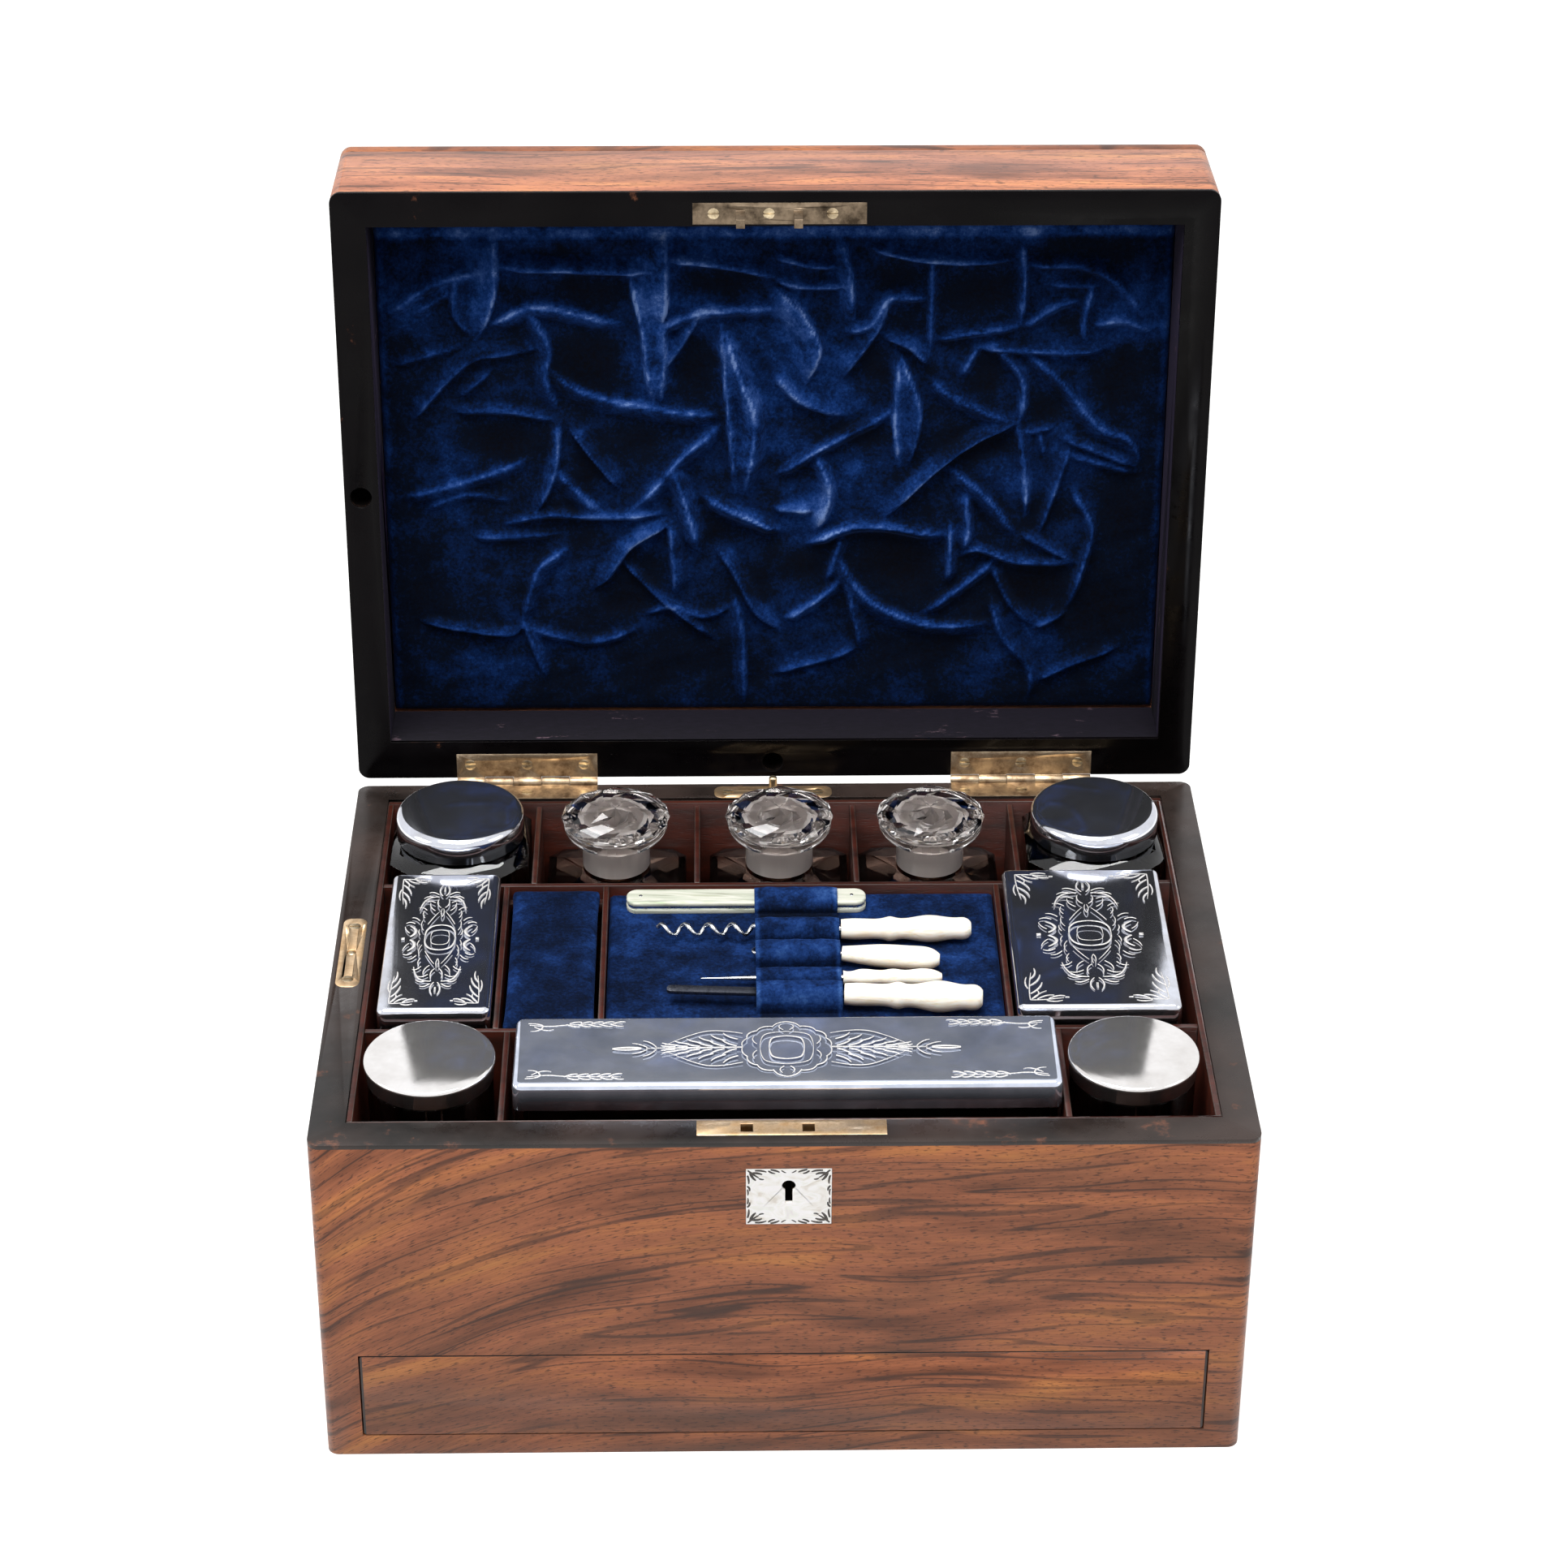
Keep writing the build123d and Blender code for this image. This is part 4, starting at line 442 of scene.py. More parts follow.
# Each pleat: its rise, its width on the left hand and on the right hand of its run, and its run, as
# distances from the lid's middle and from its front edge, in mm. The left hand of a pleat that runs
# to the right is towards the lid's front edge, which is uppermost when the lid is open.
PLEATS = (
    (2.5, 3, 4, (-136, 53), (-120, 42), (-100, 37)),
    (2.0, 2.5, 2.5, (-127, 53), (-113, 44)),
    (4.5, 5, 2, (-96, 36), (-65, 37), (-40, 38)),
    (4.0, 4, 1.8, (-38, 33), (-15, 36), (1, 40)),
    (4.5, 1.2, 11, (-98, 25), (-98, 42), (-101, 54), (-105, 62)),
    (2.5, 4, 1.5, (-112, 39), (-113, 53), (-106, 62)),
    (5.0, 1.2, 10, (-39, 24), (-38, 48), (-41, 60)),
    (5.0, 9, 1.5, (-51, 39), (-47, 59), (-45, 77), (-42, 90)),
    (4.5, 1.2, 7, (-39, 55), (-39, 72), (-41, 88)),
    (4.5, 1.5, 6, (-100, 57), (-87, 50), (-71, 52), (-54, 57)),
    (4.5, 1.8, 4.5, (-41, 59), (-26, 52), (3, 51)),
    (3.5, 1.5, 5, (-87, 51), (-80, 65), (-81, 78), (-77, 89)),
    (3.5, 1.5, 4, (-27, 54), (-33, 65), (-41, 76)),
    (3.5, 5, 1.5, (-129, 93), (-110, 72), (-96, 68), (-82, 66)),
    (2.5, 3, 1.5, (-112, 84), (-101, 75)),
    (2.0, 3, 2, (-135, 72), (-110, 65)),
    (4.5, 1.3, 7, (-80, 74), (-66, 83), (-43, 88), (-17, 92)),
    (5.5, 5, 7, (-18, 58), (-12, 78), (-7, 94), (-11, 123)),
    (4.5, 5, 1.2, (-19, 57), (-17, 88), (-14, 122)),
    (3.0, 3, 2, (-114, 90), (-94, 90), (-77, 94)),
    (4.0, 6, 1.2, (-73, 97), (-64, 110), (-55, 121)),
    (4.0, 5, 1.5, (-20, 96), (-34, 108), (-42, 118), (-51, 128)),
    (3.0, 1.5, 5, (-134, 123), (-112, 117), (-87, 108)),
    (2.0, 2, 3, (-126, 128), (-110, 122), (-95, 125)),
    (3.5, 1.5, 4, (-77, 94), (-79, 114), (-87, 131)),
    (3.5, 1.5, 6, (-78, 113), (-62, 130)),
    (3.5, 2, 2.5, (-97, 134), (-83, 130), (-60, 131), (-39, 130)),
    (2.5, 2, 3, (-109, 139), (-78, 138)),
    (4.5, 4.5, 5, (-37, 111), (-32, 126), (-27, 146)),
    (4.0, 6, 1.3, (-38, 134), (-36, 162)),
    (5.0, 2, 5, (-25, 123), (-12, 130), (3, 137)),
    (4.0, 1.5, 5, (-38, 134), (-52, 143), (-60, 154), (-66, 160)),
    (3.5, 5, 1.5, (-76, 144), (-85, 150), (-89, 160), (-92, 173)),
    (3.5, 3, 1.5, (-55, 149), (-46, 159), (-37, 168), (-21, 181)),
    (3.0, 3, 1.5, (-129, 173), (-114, 176), (-96, 178), (-92, 173)),
    (3.0, 4, 1.3, (-92, 173), (-87, 187), (-84, 196)),
    (2.5, 2, 3, (-91, 175), (-68, 181), (-50, 176)),
    (3.5, 5, 1.5, (-21, 144), (-15, 153), (-7, 169), (2, 177)),
    (3.0, 1.2, 5, (-14, 164), (-11, 183), (-11, 208)),
    (2.5, 2, 2, (-47, 170), (-37, 167), (-26, 171), (-15, 167)),
    (3.5, 2.5, 1.5, (0, 32), (11, 35), (23, 36)),
    (3.5, 2.5, 2, (0, 40), (9, 43), (26, 43)),
    (4.0, 1.3, 5, (24, 26), (27, 42), (28, 57)),
    (4.0, 3.5, 1.5, (33, 29), (56, 34), (84, 34)),
    (3.5, 1.5, 2.5, (87, 27), (88, 42), (87, 58)),
    (3.5, 2.5, 1.5, (55, 34), (55, 54), (55, 68)),
    (4.0, 3, 3.5, (25, 60), (34, 57), (41, 47), (55, 48)),
    (4.0, 1.5, 5, (40, 48), (36, 60), (23, 79)),
    (3.5, 2, 3, (57, 63), (72, 60), (88, 58)),
    (3.5, 1.5, 3.5, (88, 58), (100, 50), (108, 49)),
    (3.0, 4, 2, (89, 36), (107, 36), (120, 42), (133, 58)),
    (2.5, 2, 2, (98, 43), (115, 43)),
    (3.0, 2, 3, (113, 58), (123, 56), (134, 61)),
    (3.0, 3, 1.5, (112, 43), (109, 58), (111, 65)),
    (3.5, 2, 2.5, (72, 66), (101, 68), (119, 67)),
    (4.0, 4, 1.5, (39, 62), (48, 66), (55, 73)),
    (4.5, 1.3, 6, (44, 68), (52, 90), (48, 112)),
    (4.0, 6, 1.3, (44, 71), (43, 95), (45, 113)),
    (4.0, 2, 5, (56, 79), (68, 87), (86, 95)),
    (3.0, 3, 2, (72, 66), (66, 77)),
    (4.0, 3, 2, (79, 67), (88, 78), (88, 95)),
    (3.5, 2, 5, (90, 69), (101, 78), (109, 88), (117, 97), (128, 102), (132, 113)),
    (5.0, 1.5, 10, (0, 43), (10, 53), (16, 66), (11, 80)),
    (4.0, 4, 2.5, (0, 76), (9, 86), (25, 92)),
    (4.0, 2, 4, (0, 115), (17, 104), (43, 90)),
    (4.5, 1.5, 5, (87, 95), (73, 102), (57, 114), (40, 132)),
    (2.5, 2, 2, (90, 99), (100, 97)),
    (3.5, 3, 1.5, (87, 95), (90, 115), (91, 133)),
    (3.0, 3, 2, (103, 101), (118, 107), (132, 113)),
    (2.5, 2, 2.5, (107, 108), (131, 115)),
    (3.5, 1.5, 3, (106, 105), (101, 122), (96, 139)),
    (4.0, 1.5, 6, (64, 113), (76, 123), (88, 139)),
    (4.0, 3, 3.5, (69, 123), (70, 137), (68, 146)),
    (4.0, 4, 1.3, (64, 134), (63, 158)),
    (5.0, 1.5, 4.5, (12, 142), (31, 134), (63, 139)),
    (4.0, 2, 2.5, (68, 147), (74, 144), (88, 149), (111, 150)),
    (3.0, 3, 2, (90, 139), (110, 150)),
    (3.5, 2.5, 2.5, (107, 121), (115, 136), (111, 156), (107, 169)),
    (3.5, 4, 1.5, (80, 149), (67, 160), (55, 170)),
    (3.0, 4, 1.5, (24, 140), (19, 157)),
    (3.5, 1.5, 4, (4, 172), (13, 166), (25, 156)),
    (4.0, 1.5, 6, (23, 147), (30, 159), (39, 167), (56, 174), (79, 174)),
    (3.0, 5, 1.5, (26, 157), (32, 185)),
    (3.0, 4, 1.5, (79, 151), (86, 166), (96, 176)),
    (2.5, 2, 2, (96, 176), (107, 170)),
    (2.5, 4, 2, (79, 165), (84, 180), (94, 193), (94, 206)),
    (2.5, 2.5, 1.5, (97, 198), (111, 191), (127, 185)),
    (2.5, 2, 2, (0, 194), (18, 189), (31, 184)),
    (4.0, 3, 4, (15, 107), (20, 122), (15, 137)),
    (3.0, 2.5, 2.5, (0, 128), (14, 129)),
    (2.0, 1.5, 1.5, (95, 99), (97, 108)),
)

# Hollows between the pleats and puffs on them: middle, half width and half depth, in mm, and how
# marked it is
HOLLOWS = (
    (-71, 45, 20, 5, 1.0), (-67, 73, 13, 12, 1.2), (-28, 74, 8, 14, 1.3), (-21, 42, 15, 6, 1.0),
    (-98, 102, 14, 7, 1.0), (-66, 112, 6, 11, 0.9), (-48, 104, 8, 9, 0.9), (-46, 154, 9, 9, 0.9),
    (-91, 145, 9, 8, 0.7), (-11, 138, 14, 7, 0.8), (-87, 31, 18, 3, 0.8), (-6, 160, 9, 8, 0.7),
    (-56, 166, 9, 5, 0.7), (-34, 195, 20, 8, 0.5), (-126, 165, 8, 14, 0.5), (41, 40, 8, 6, 0.9),
    (71, 46, 13, 8, 1.0), (33, 75, 9, 9, 1.2), (47, 57, 6, 5, 0.8), (71, 103, 14, 8, 1.1),
    (76, 77, 6, 8, 0.9), (97, 90, 8, 9, 1.0), (46, 150, 14, 10, 1.1), (97, 130, 8, 9, 0.9),
    (78, 127, 7, 8, 0.8), (93, 160, 13, 8, 0.9), (30, 98, 12, 6, 0.9), (121, 78, 9, 14, 0.8),
    (62, 185, 16, 8, 0.5), (121, 175, 14, 16, 0.8), (126, 130, 9, 14, 0.7), (100, 58, 8, 4, 0.8),
    (11, 152, 8, 8, 0.7), (108, 30, 22, 5, 0.5),
)
PUFFS = (
    (-46, 50, 6, 12, 0.5), (-106, 48, 8, 11, 0.5), (2, 100, 6, 8, 0.6), (7, 60, 9, 14, 0.6),
    (33, 112, 9, 7, 0.6), (-115, 156, 9, 8, 0.5), (-113, 108, 9, 7, 0.5), (-51, 70, 4, 5, 0.7),
    (-21, 104, 4, 6, 0.5), (-76, 158, 10, 11, 0.5), (15, 126, 8, 10, 0.5), (-10, 85, 6, 22, 0.6),
    (-112, 192, 16, 10, 0.4), (8, 200, 14, 8, 0.4), (44, 92, 4, 16, 0.3), (118, 93, 7, 7, 0.3),
)


def smooth_run(points, per_span=8):
    """Points on a smooth line through the given points."""
    knots = [np.array(point) for point in (points[0], *points, points[-1])]
    line = []
    for before, start, end, after in zip(knots, knots[1:], knots[2:], knots[3:]):
        for share in np.arange(per_span) / per_span:
            line.append(
                start
                + 0.5 * (end - before) * share
                + (before - 2.5 * start + 2 * end - 0.5 * after) * share**2
                + (1.5 * start - 0.5 * before - 1.5 * end + 0.5 * after) * share**3
            )
    return line + [knots[-1]]


FULL_RISE = 4.5
CREST_WIDTH = 0.55
FADE_IN = 0.15
FADE_OUT = 0.22


def pleat_height(across, down, pleat):
    """Height of one pleat over the grid, in mm, and how much painted highlight its crest and
    painted light its flank get.
    """
    rise, left_w, right_w, *run = pleat
    line = smooth_run(run)
    steps = [float(np.hypot(*(b - a))) for a, b in zip(line, line[1:])]
    lengths = np.cumsum([0.0] + steps)
    nearest = np.full(across.shape, np.inf)
    side = np.zeros(across.shape)
    along = np.zeros(across.shape)
    for start, end, covered in zip(line, line[1:], lengths):
        span = end - start
        length = float(np.hypot(*span)) or 1e-6
        share = ((across - start[0]) * span[0] + (down - start[1]) * span[1]) / length**2
        share = np.clip(share, 0, 1)
        off_x = across - start[0] - share * span[0]
        off_y = down - start[1] - share * span[1]
        gap = np.hypot(off_x, off_y)
        closer = gap < nearest
        nearest = np.where(closer, gap, nearest)
        side = np.where(closer, np.sign(span[0] * off_y - span[1] * off_x), side)
        along = np.where(closer, covered + share * length, along)
    # it fades in over the first part of its run, and out over the last
    share = along / lengths[-1]
    taper = np.minimum(1, share / FADE_IN + 0.25) * np.minimum(1, (1 - share) / FADE_OUT + 0.15)
    width = np.where(side > 0, right_w, left_w) * (0.4 + 0.6 * taper)
    reach = np.clip(nearest / width, 0, 1)
    height = rise * taper * (1 - reach**2) ** 1.6
    crest = rise / FULL_RISE * taper * np.exp(-((nearest / CREST_WIDTH) ** 2))
    flank = min(1.0, rise / 4) * taper * (1 - reach) ** 0.6
    return height, crest, flank


columns = int(2 * PANEL_X / PANEL_STEP)
rows = int((PANEL_BACK - PANEL_FRONT) / PANEL_STEP)
across, down = np.meshgrid(
    np.linspace(-PANEL_X, PANEL_X, columns), np.linspace(PANEL_FRONT, PANEL_BACK, rows)
)
across = across / MM
down = (down - FRONT) / MM
power_sum = np.zeros(across.shape)
crest_highlights = np.zeros(across.shape)
lit_flanks = np.zeros(across.shape)
for pleat in PLEATS:
    height, crest, flank = pleat_height(across, down, pleat)
    power_sum += height**4
    crest_highlights = np.maximum(crest_highlights, crest)
    lit_flanks = np.maximum(lit_flanks, flank)
pleats = power_sum**0.25
hollow = np.zeros(across.shape)
for x, y, half_w, half_d, depth in HOLLOWS:
    hollow += depth * np.exp(-(((across - x) / half_w) ** 2 + ((down - y) / half_d) ** 2) ** 1.5)
puff = np.zeros(across.shape)
for x, y, half_w, half_d, depth in PUFFS:
    puff += depth * np.exp(-((across - x) / half_w) ** 2 - ((down - y) / half_d) ** 2)
# the wadding under the velvet is uneven, by slow waves that cross
broad_swell = np.sin(across * 0.21 + 1.3 * np.sin(down * 0.13)) * np.sin(
    down * 0.26 + 1.1 * np.sin(across * 0.17 + 2)
)
small_swell = np.sin(across * 0.47 + down * 0.31) * np.sin(down * 0.52 - across * 0.22 + 1)
swell = broad_swell + 0.5 * small_swell
top_gap = down - (PANEL_FRONT - FRONT) / MM
edge_gap = np.minimum(
    np.minimum(across + PANEL_X / MM, PANEL_X / MM - across),
    np.minimum(top_gap, (PANEL_BACK - FRONT) / MM - down),
)
# heights in mm: of the wadding and its waves, of a hollow and of a puff, and how far in from the
# edge they are full
WADDING = 0.6
SWELL_RISE = 0.35
HOLLOW_FALL = 0.9
PUFF_RISE = 0.8
FULL_GAP = 7
TUCK_GAP = 2.0
inside = np.clip(edge_gap / FULL_GAP, 0, 1) ** 0.7
height = (pleats + SWELL_RISE * swell - HOLLOW_FALL * hollow + PUFF_RISE * puff + WADDING) * inside
tuck = np.clip(1 - edge_gap / TUCK_GAP, 0, 1)
height = height - PANEL_TUCK / MM * tuck**2
# the pile is rubbed along the edge that is uppermost when the lid is open; the velvet is lighter at
# the middle and darker towards the hinge
HEM = 11.0
side_gap = PANEL_X / MM - np.abs(across)
rubbed_hem = np.exp(-(((top_gap - HEM) / 2.2) ** 4))
rubbed_edge = rubbed_hem + 0.5 * np.exp(-(((side_gap - 1.5) / 1.4) ** 4))
lighter_middle = 0.09 * np.exp(-((across / 90) ** 2 + ((down - 60) / 70) ** 2))
middle_and_bottom_tone = lighter_middle - 0.05 * np.clip(down / 200, 0, 1)
# the velvet's tone: the pile at rest, and how much lighter or darker each part is: painted light on
# the pleats' flanks, painted highlight on their crests, painted shade in the hollows, and lighter
# puffs and rubbed edges
REST_LEAN = 0.22
FLANK_PAINTED_LIGHT = 0.22
CREST_PAINTED_HIGHLIGHT = 0.34
HOLLOW_PAINTED_SHADE = -0.17
PUFF_LEAN = 0.20
HEM_LEAN = 0.30
pile_and_light = REST_LEAN + middle_and_bottom_tone + FLANK_PAINTED_LIGHT * lit_flanks + CREST_PAINTED_HIGHLIGHT * crest_highlights + HOLLOW_PAINTED_SHADE * hollow
pile_and_light = pile_and_light + PUFF_LEAN * puff + HEM_LEAN * rubbed_edge


def store_pile_and_light(mesh, values):
    """Keep the velvet's tone at each point, its pile lean with painted light and shade, for its
    finish.
    """
    mesh.attributes.new("pile_and_light", "FLOAT", "POINT").data.foreach_set("value", values)


def show(name, data):
    """A new object for a mesh, curve, lamp or camera, in the scene."""
    made = bpy.data.objects.new(name, data)
    bpy.context.collection.objects.link(made)
    return made


panel_mesh = bpy.data.meshes.new("ruched_velvet")
spots = [
    LID_TURN @ Vector((x * MM, FRONT + y * MM, PANEL_FACE - z * MM))
    for x, y, z in zip(across.ravel(), down.ravel(), height.ravel())
]
starts = [row * columns + column for row in range(rows - 1) for column in range(columns - 1)]
squares = [(a + columns, a + columns + 1, a + 1, a) for a in starts]
panel_mesh.from_pydata([tuple(spot) for spot in spots], [], squares)
store_pile_and_light(panel_mesh, np.clip(pile_and_light, 0, 1).ravel())
panel_mesh.shade_smooth()
ruched_velvet = show("ruched_velvet", panel_mesh)
smoothing = ruched_velvet.modifiers.new("soften", "SMOOTH")
smoothing.factor = 0.5
smoothing.iterations = 1


def velvet(name, stops, sheen):
    """Silk velvet: its colour follows a stored level of crushed pile with painted light and painted
    shade.
    """
    finish, tree, shader = new_finish(name)
    nap = noise(tree, 800, 3.0, 0.7)
    crush = noise(tree, 95, 7.0, 0.75)
    crushed = node(tree, "MapRange", {0: crush, 1: 0.28, 2: 0.72, 3: 0.35, 4: 1.65})
    patch = noise(tree, 34, 5.0, 0.6, shift=(0.3, 0.1, 0.2))
    patched = node(tree, "MapRange", {0: patch, 1: 0.5, 2: 0.68, 3: 0.0, 4: 0.2})
    # the stored level mixes the pile's lean with painted light and shade
    lean = node(tree, "Attribute", {}, attribute_name="pile_and_light").outputs["Fac"]
    total = maths(tree, "MULTIPLY_ADD", lean, crushed, maths(tree, "MULTIPLY_ADD", nap, 0.5, -0.25))
    plug(tree, shader, {
        "Base Color": ramp(tree, maths(tree, "ADD", total, patched), stops),
        "Normal": relief(tree, nap, 0.3, 0.5),
        "Roughness": 0.95,
        "Specular IOR Level": 0.08,
        "Sheen Weight": sheen,
        "Sheen Roughness": 0.35,
        "Sheen Tint": "#4a6cb0",
    })
    return finish


RUCHED_BLUES = (
    (0.0, "#000107"), (0.2, "#000718"), (0.36, "#02173c"),
    (0.54, "#0c2b60"), (0.76, "#29467e"), (1.0, "#5c74a4"),
)
ruched_velvet.data.materials.append(velvet("silk_velvet_ruched", RUCHED_BLUES, 0.10))
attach(ruched_velvet, "lid")
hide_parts("velvet_panel")


# ---- Keyhole escutcheon ----
# A plate of mother-of-pearl let into the front and glued. Sprays of leaves are scratched into its
# corners and along its edges, and filled with black wax.
ESCUTCHEON_X = 0.0012
ESCUTCHEON_Z = 0.1053
CRISP_PEARL = math.radians(20)
PEARL_ARRIS = 0.15 * MM


def engraved(name, strokes, finish, fine):
    """Tapered strokes in the XY plane, as one mesh: each is a width, then its run of points."""
    curve = bpy.data.curves.new(name, "CURVE")
    curve.dimensions = "3D"
    curve.bevel_depth = 1.0
    curve.bevel_resolution = 0
    curve.use_fill_caps = True
    for width, *run in strokes:
        line = curve.splines.new("NURBS")
        line.points.add(len(run) - 1)
        for number, (point, (x, y)) in enumerate(zip(line.points, run)):
            share = number / (len(run) - 1)
            # thin where the cut starts, full past its middle and pointed at its end
            taper = 0.25 + 0.75 * math.sin(math.pi * min(0.95, 0.15 + share * 0.85))
            point.co = (x * MM, y * MM, 0, 1)
            point.radius = fine * width / 2 * MM * taper
        line.order_u = min(3, len(run))
        line.use_endpoint_u = True
        line.resolution_u = 5
    drawn = show(name, curve)
    bpy.ops.object.select_all(action="DESELECT")
    drawn.select_set(True)
    bpy.context.view_layer.objects.active = drawn
    bpy.ops.object.convert(target="MESH")
    drawn.data.materials.clear()
    drawn.data.materials.append(finish)
    drawn.data.shade_smooth()
    return drawn


def mapped(strokes, place):
    """The same strokes, with each of their points moved."""
    return [(width, *[place(x, y) for x, y in run]) for width, *run in strokes]


def four_ways(strokes):
    """The strokes of one quarter of an ornament, mirrored into all four quarters."""
    return [
        (width, *[(x * side, y * end) for x, y in run])
        for width, *run in strokes
        for side in (1, -1)
        for end in (1, -1)
    ]


pearl, tree, shader = new_finish("mother_of_pearl")
# layers of shell: cloudy white with faint pink and green, a few mm across
SHELL_SCALE = (140, 140, 240)
SHELL_TONES = (
    (0.28, "#dcd2c4"), (0.42, "#efeae2"), (0.52, "#f4efec"), (0.60, "#ece9df"), (0.72, "#e4dcd8"),
)
shell = {"Vector": turned_coords(tree, SHELL_SCALE), "Scale": 1.6, "Distortion": 9.0, "Detail": 2.0}
lines = node(tree, "TexWave", shell)
plug(tree, shader, {
    "Base Color": ramp(tree, noise(tree, SHELL_SCALE, 3.0, warp=1.2), SHELL_TONES),
    "Normal": relief(tree, lines.outputs["Fac"], 0.03, 0.3),
    "Roughness": 0.22,
    "Thin Film Thickness": 380,
    "Subsurface Weight": 0.15,
    "Subsurface Radius": (0.001, 0.001, 0.001),
})
dress_node("escutcheon", pearl, PEARL_ARRIS, crisp=CRISP_PEARL)

wax_tones = ((0.35, "#1d1a18"), (0.7, "#4b443f"))
black_wax = speckled("black_wax", 2500, 2.0, wax_tones, {"Roughness": 0.6})

# one corner's spray, from the middle of the plate outwards, in mm
spray = (
    (0.45, (13.2, 10.4), (11.4, 8.6), (9.6, 7.4)),
    (0.6, (12.4, 9.6), (12.0, 7.6), (10.6, 6.4)),
    (0.6, (12.0, 9.2), (10.0, 9.6), (8.6, 8.7)),
    (0.45, (13.3, 8.4), (12.7, 6.6), (12.9, 5.0)),
    (0.5, (10.9, 10.3), (8.8, 10.5), (7.2, 9.7)),
    (0.4, (9.6, 7.2), (8.6, 6.6), (8.0, 6.9)),
    (0.45, (6.6, 10.2), (5.6, 9.2), (4.4, 9.1)),
    (0.5, (5.9, 10.6), (4.2, 10.4), (3.0, 9.6)),
    (0.3, (2.4, 10.3), (1.6, 9.6), (0.9, 9.4)),
    (0.45, (13.4, 4.2), (12.4, 3.4), (12.6, 2.2)),
    (0.35, (13.3, 2.9), (12.9, 1.6), (13.2, 0.5)),
)
scratched = engraved("escutcheon_engraving", four_ways(spray), black_wax, 2.1)
plate_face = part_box("escutcheon")[0][1]
scratched.data.transform(
    Matrix.Translation((ESCUTCHEON_X, plate_face, ESCUTCHEON_Z))
    @ Matrix.Rotation(QUARTER, 4, "X")
    @ Matrix.Diagonal((1, 1, 0.15, 1))
)
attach(scratched, "case")


def add_piece(name, primitive, scale=(1, 1, 1), **shape):
    """A new piece from one of Blender's primitives, with its scale applied."""
    bpy.ops.object.select_all(action="DESELECT")
    primitive(**shape)
    piece = bpy.context.active_object
    piece.name = name
    piece.scale = scale
    bpy.ops.object.transform_apply(location=True, rotation=True, scale=True)
    return piece


# a thin black sheet on the lock case behind the keyhole: painted shadow, seen through the keyhole
SHADOW_SHEET_W = 2.2 * MM
SHADOW_SHEET_T = 0.1 * MM
SHADOW_SHEET_PROUD = 0.06 * MM
keyhole_shadow = add_piece(
    "keyhole_painted_shadow",
    bpy.ops.mesh.primitive_cube_add,
    (SHADOW_SHEET_W, SHADOW_SHEET_T, KEY_HIGH - KEY_LOW - 1.5 * MM),
    size=1,
    location=(KEY_X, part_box("lock_case")[0][1] - SHADOW_SHEET_PROUD, (KEY_LOW + KEY_HIGH) / 2),
)
keyhole_shadow.data.materials.append(bore_painted_shadow)
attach(keyhole_shadow, "case")


# ---- Glass: jars, pots, boxes and bottles ----
# Flint glass blown into moulds and cut, with flat polished facets on the shoulders and a ground
# foot.
CLEAR = "#fbf8f6"
MILKY = "#d6cdc8"
POLISHED = 0.02
GROUND = 0.5


def flint_glass(name, ground=None, stain_and_shade=None):
    """Clear lead glass, with faint waves in the polish; its last argument is a brown tint below the
    ground part, painted shade.

    Between the two heights of ground it is ground with sand, so it turns milky there.
    """
    finish, tree, shader = new_finish(name)
    surface = {
        "Normal": relief(tree, noise(tree, 110, 1.0), 0.4, 0.12),
        "Transmission Weight": 1.0,
        "IOR": 1.56,
        "Base Color": CLEAR,
        "Roughness": POLISHED,
    }
    if ground:
        place = node(tree, "TexCoord", {}).outputs["Object"]
        height = node(tree, "SeparateXYZ", {0: place}).outputs[2]
        off = maths(tree, "ABSOLUTE", maths(tree, "SUBTRACT", height, sum(ground) / 2))
        part = maths(tree, "LESS_THAN", off, (ground[1] - ground[0]) / 2)
        surface["Transmission Weight"] = node(tree, "MapRange", {0: part, 3: 1.0, 4: 0.5})
        surface["Roughness"] = node(tree, "MapRange", {0: part, 3: POLISHED, 4: GROUND})
        tint = blend(tree, part, CLEAR, MILKY)
        if stain_and_shade:
            tint = blend(tree, maths(tree, "LESS_THAN", height, ground[0]), tint, stain_and_shade)
        surface["Base Color"] = tint
    plug(tree, shader, surface)
    return finish


GLASS_ARRIS = 0.4 * MM
SEAT_TOP = 0.13305
NECK_FOOT = 0.1162
NECK_TOP = 0.1268
clear_glass = flint_glass("flint_glass")
stopper_glass = flint_glass("flint_glass_ground_plug", (NECK_FOOT, SEAT_TOP))
# the bottles are tinted brown below their ground necks, as painted shade for the dark cells seen
# through them
bottle_glass = flint_glass("flint_glass_ground_neck", (NECK_FOOT, NECK_TOP), "#a88c7c")
for name in ("jar_left", "jar_right", "pot_left", "pot_right", "box_left", "box_right", "box_long"):
    dress_node(name, clear_glass, GLASS_ARRIS)
for number in (1, 2, 3):
    dress_node(f"bottle_{number}", bottle_glass, GLASS_ARRIS)


# ---- Star-cut stoppers ----
# Each is one piece of glass: a ground plug under a mushroom head that is cut all over into flat
# facets, in a star of eight rays. The plug is ground to fit, so it is milky.
STAR_CORNERS = 16
# from the plug's foot up: height and radius of each ring, and how far its corners go up and down
STAR_RINGS = (
    (112.0, 5.2, 0), (132.0, 6.3, 0), (132.9, 7.6, 0), (133.15, 15.4, 0), (134.0, 18.8, 0),
    (135.4, 19.4, 0.25), (136.7, 17.8, -0.55), (138.2, 12.4, 0.65), (139.0, 6.4, -0.5),
)
STAR_MIDDLE = 138.7
STAR_CAP = 2 * MM
RING_GAP = 0.02 * MM


def turn_outwards(piece):
    """Make every face of a piece look outwards."""
    bpy.context.view_layer.objects.active = piece
    bpy.ops.object.mode_set(mode="EDIT")
    bpy.ops.mesh.select_all(action="SELECT")
    bpy.ops.mesh.normals_make_consistent(inside=False)
    bpy.ops.object.mode_set(mode="OBJECT")


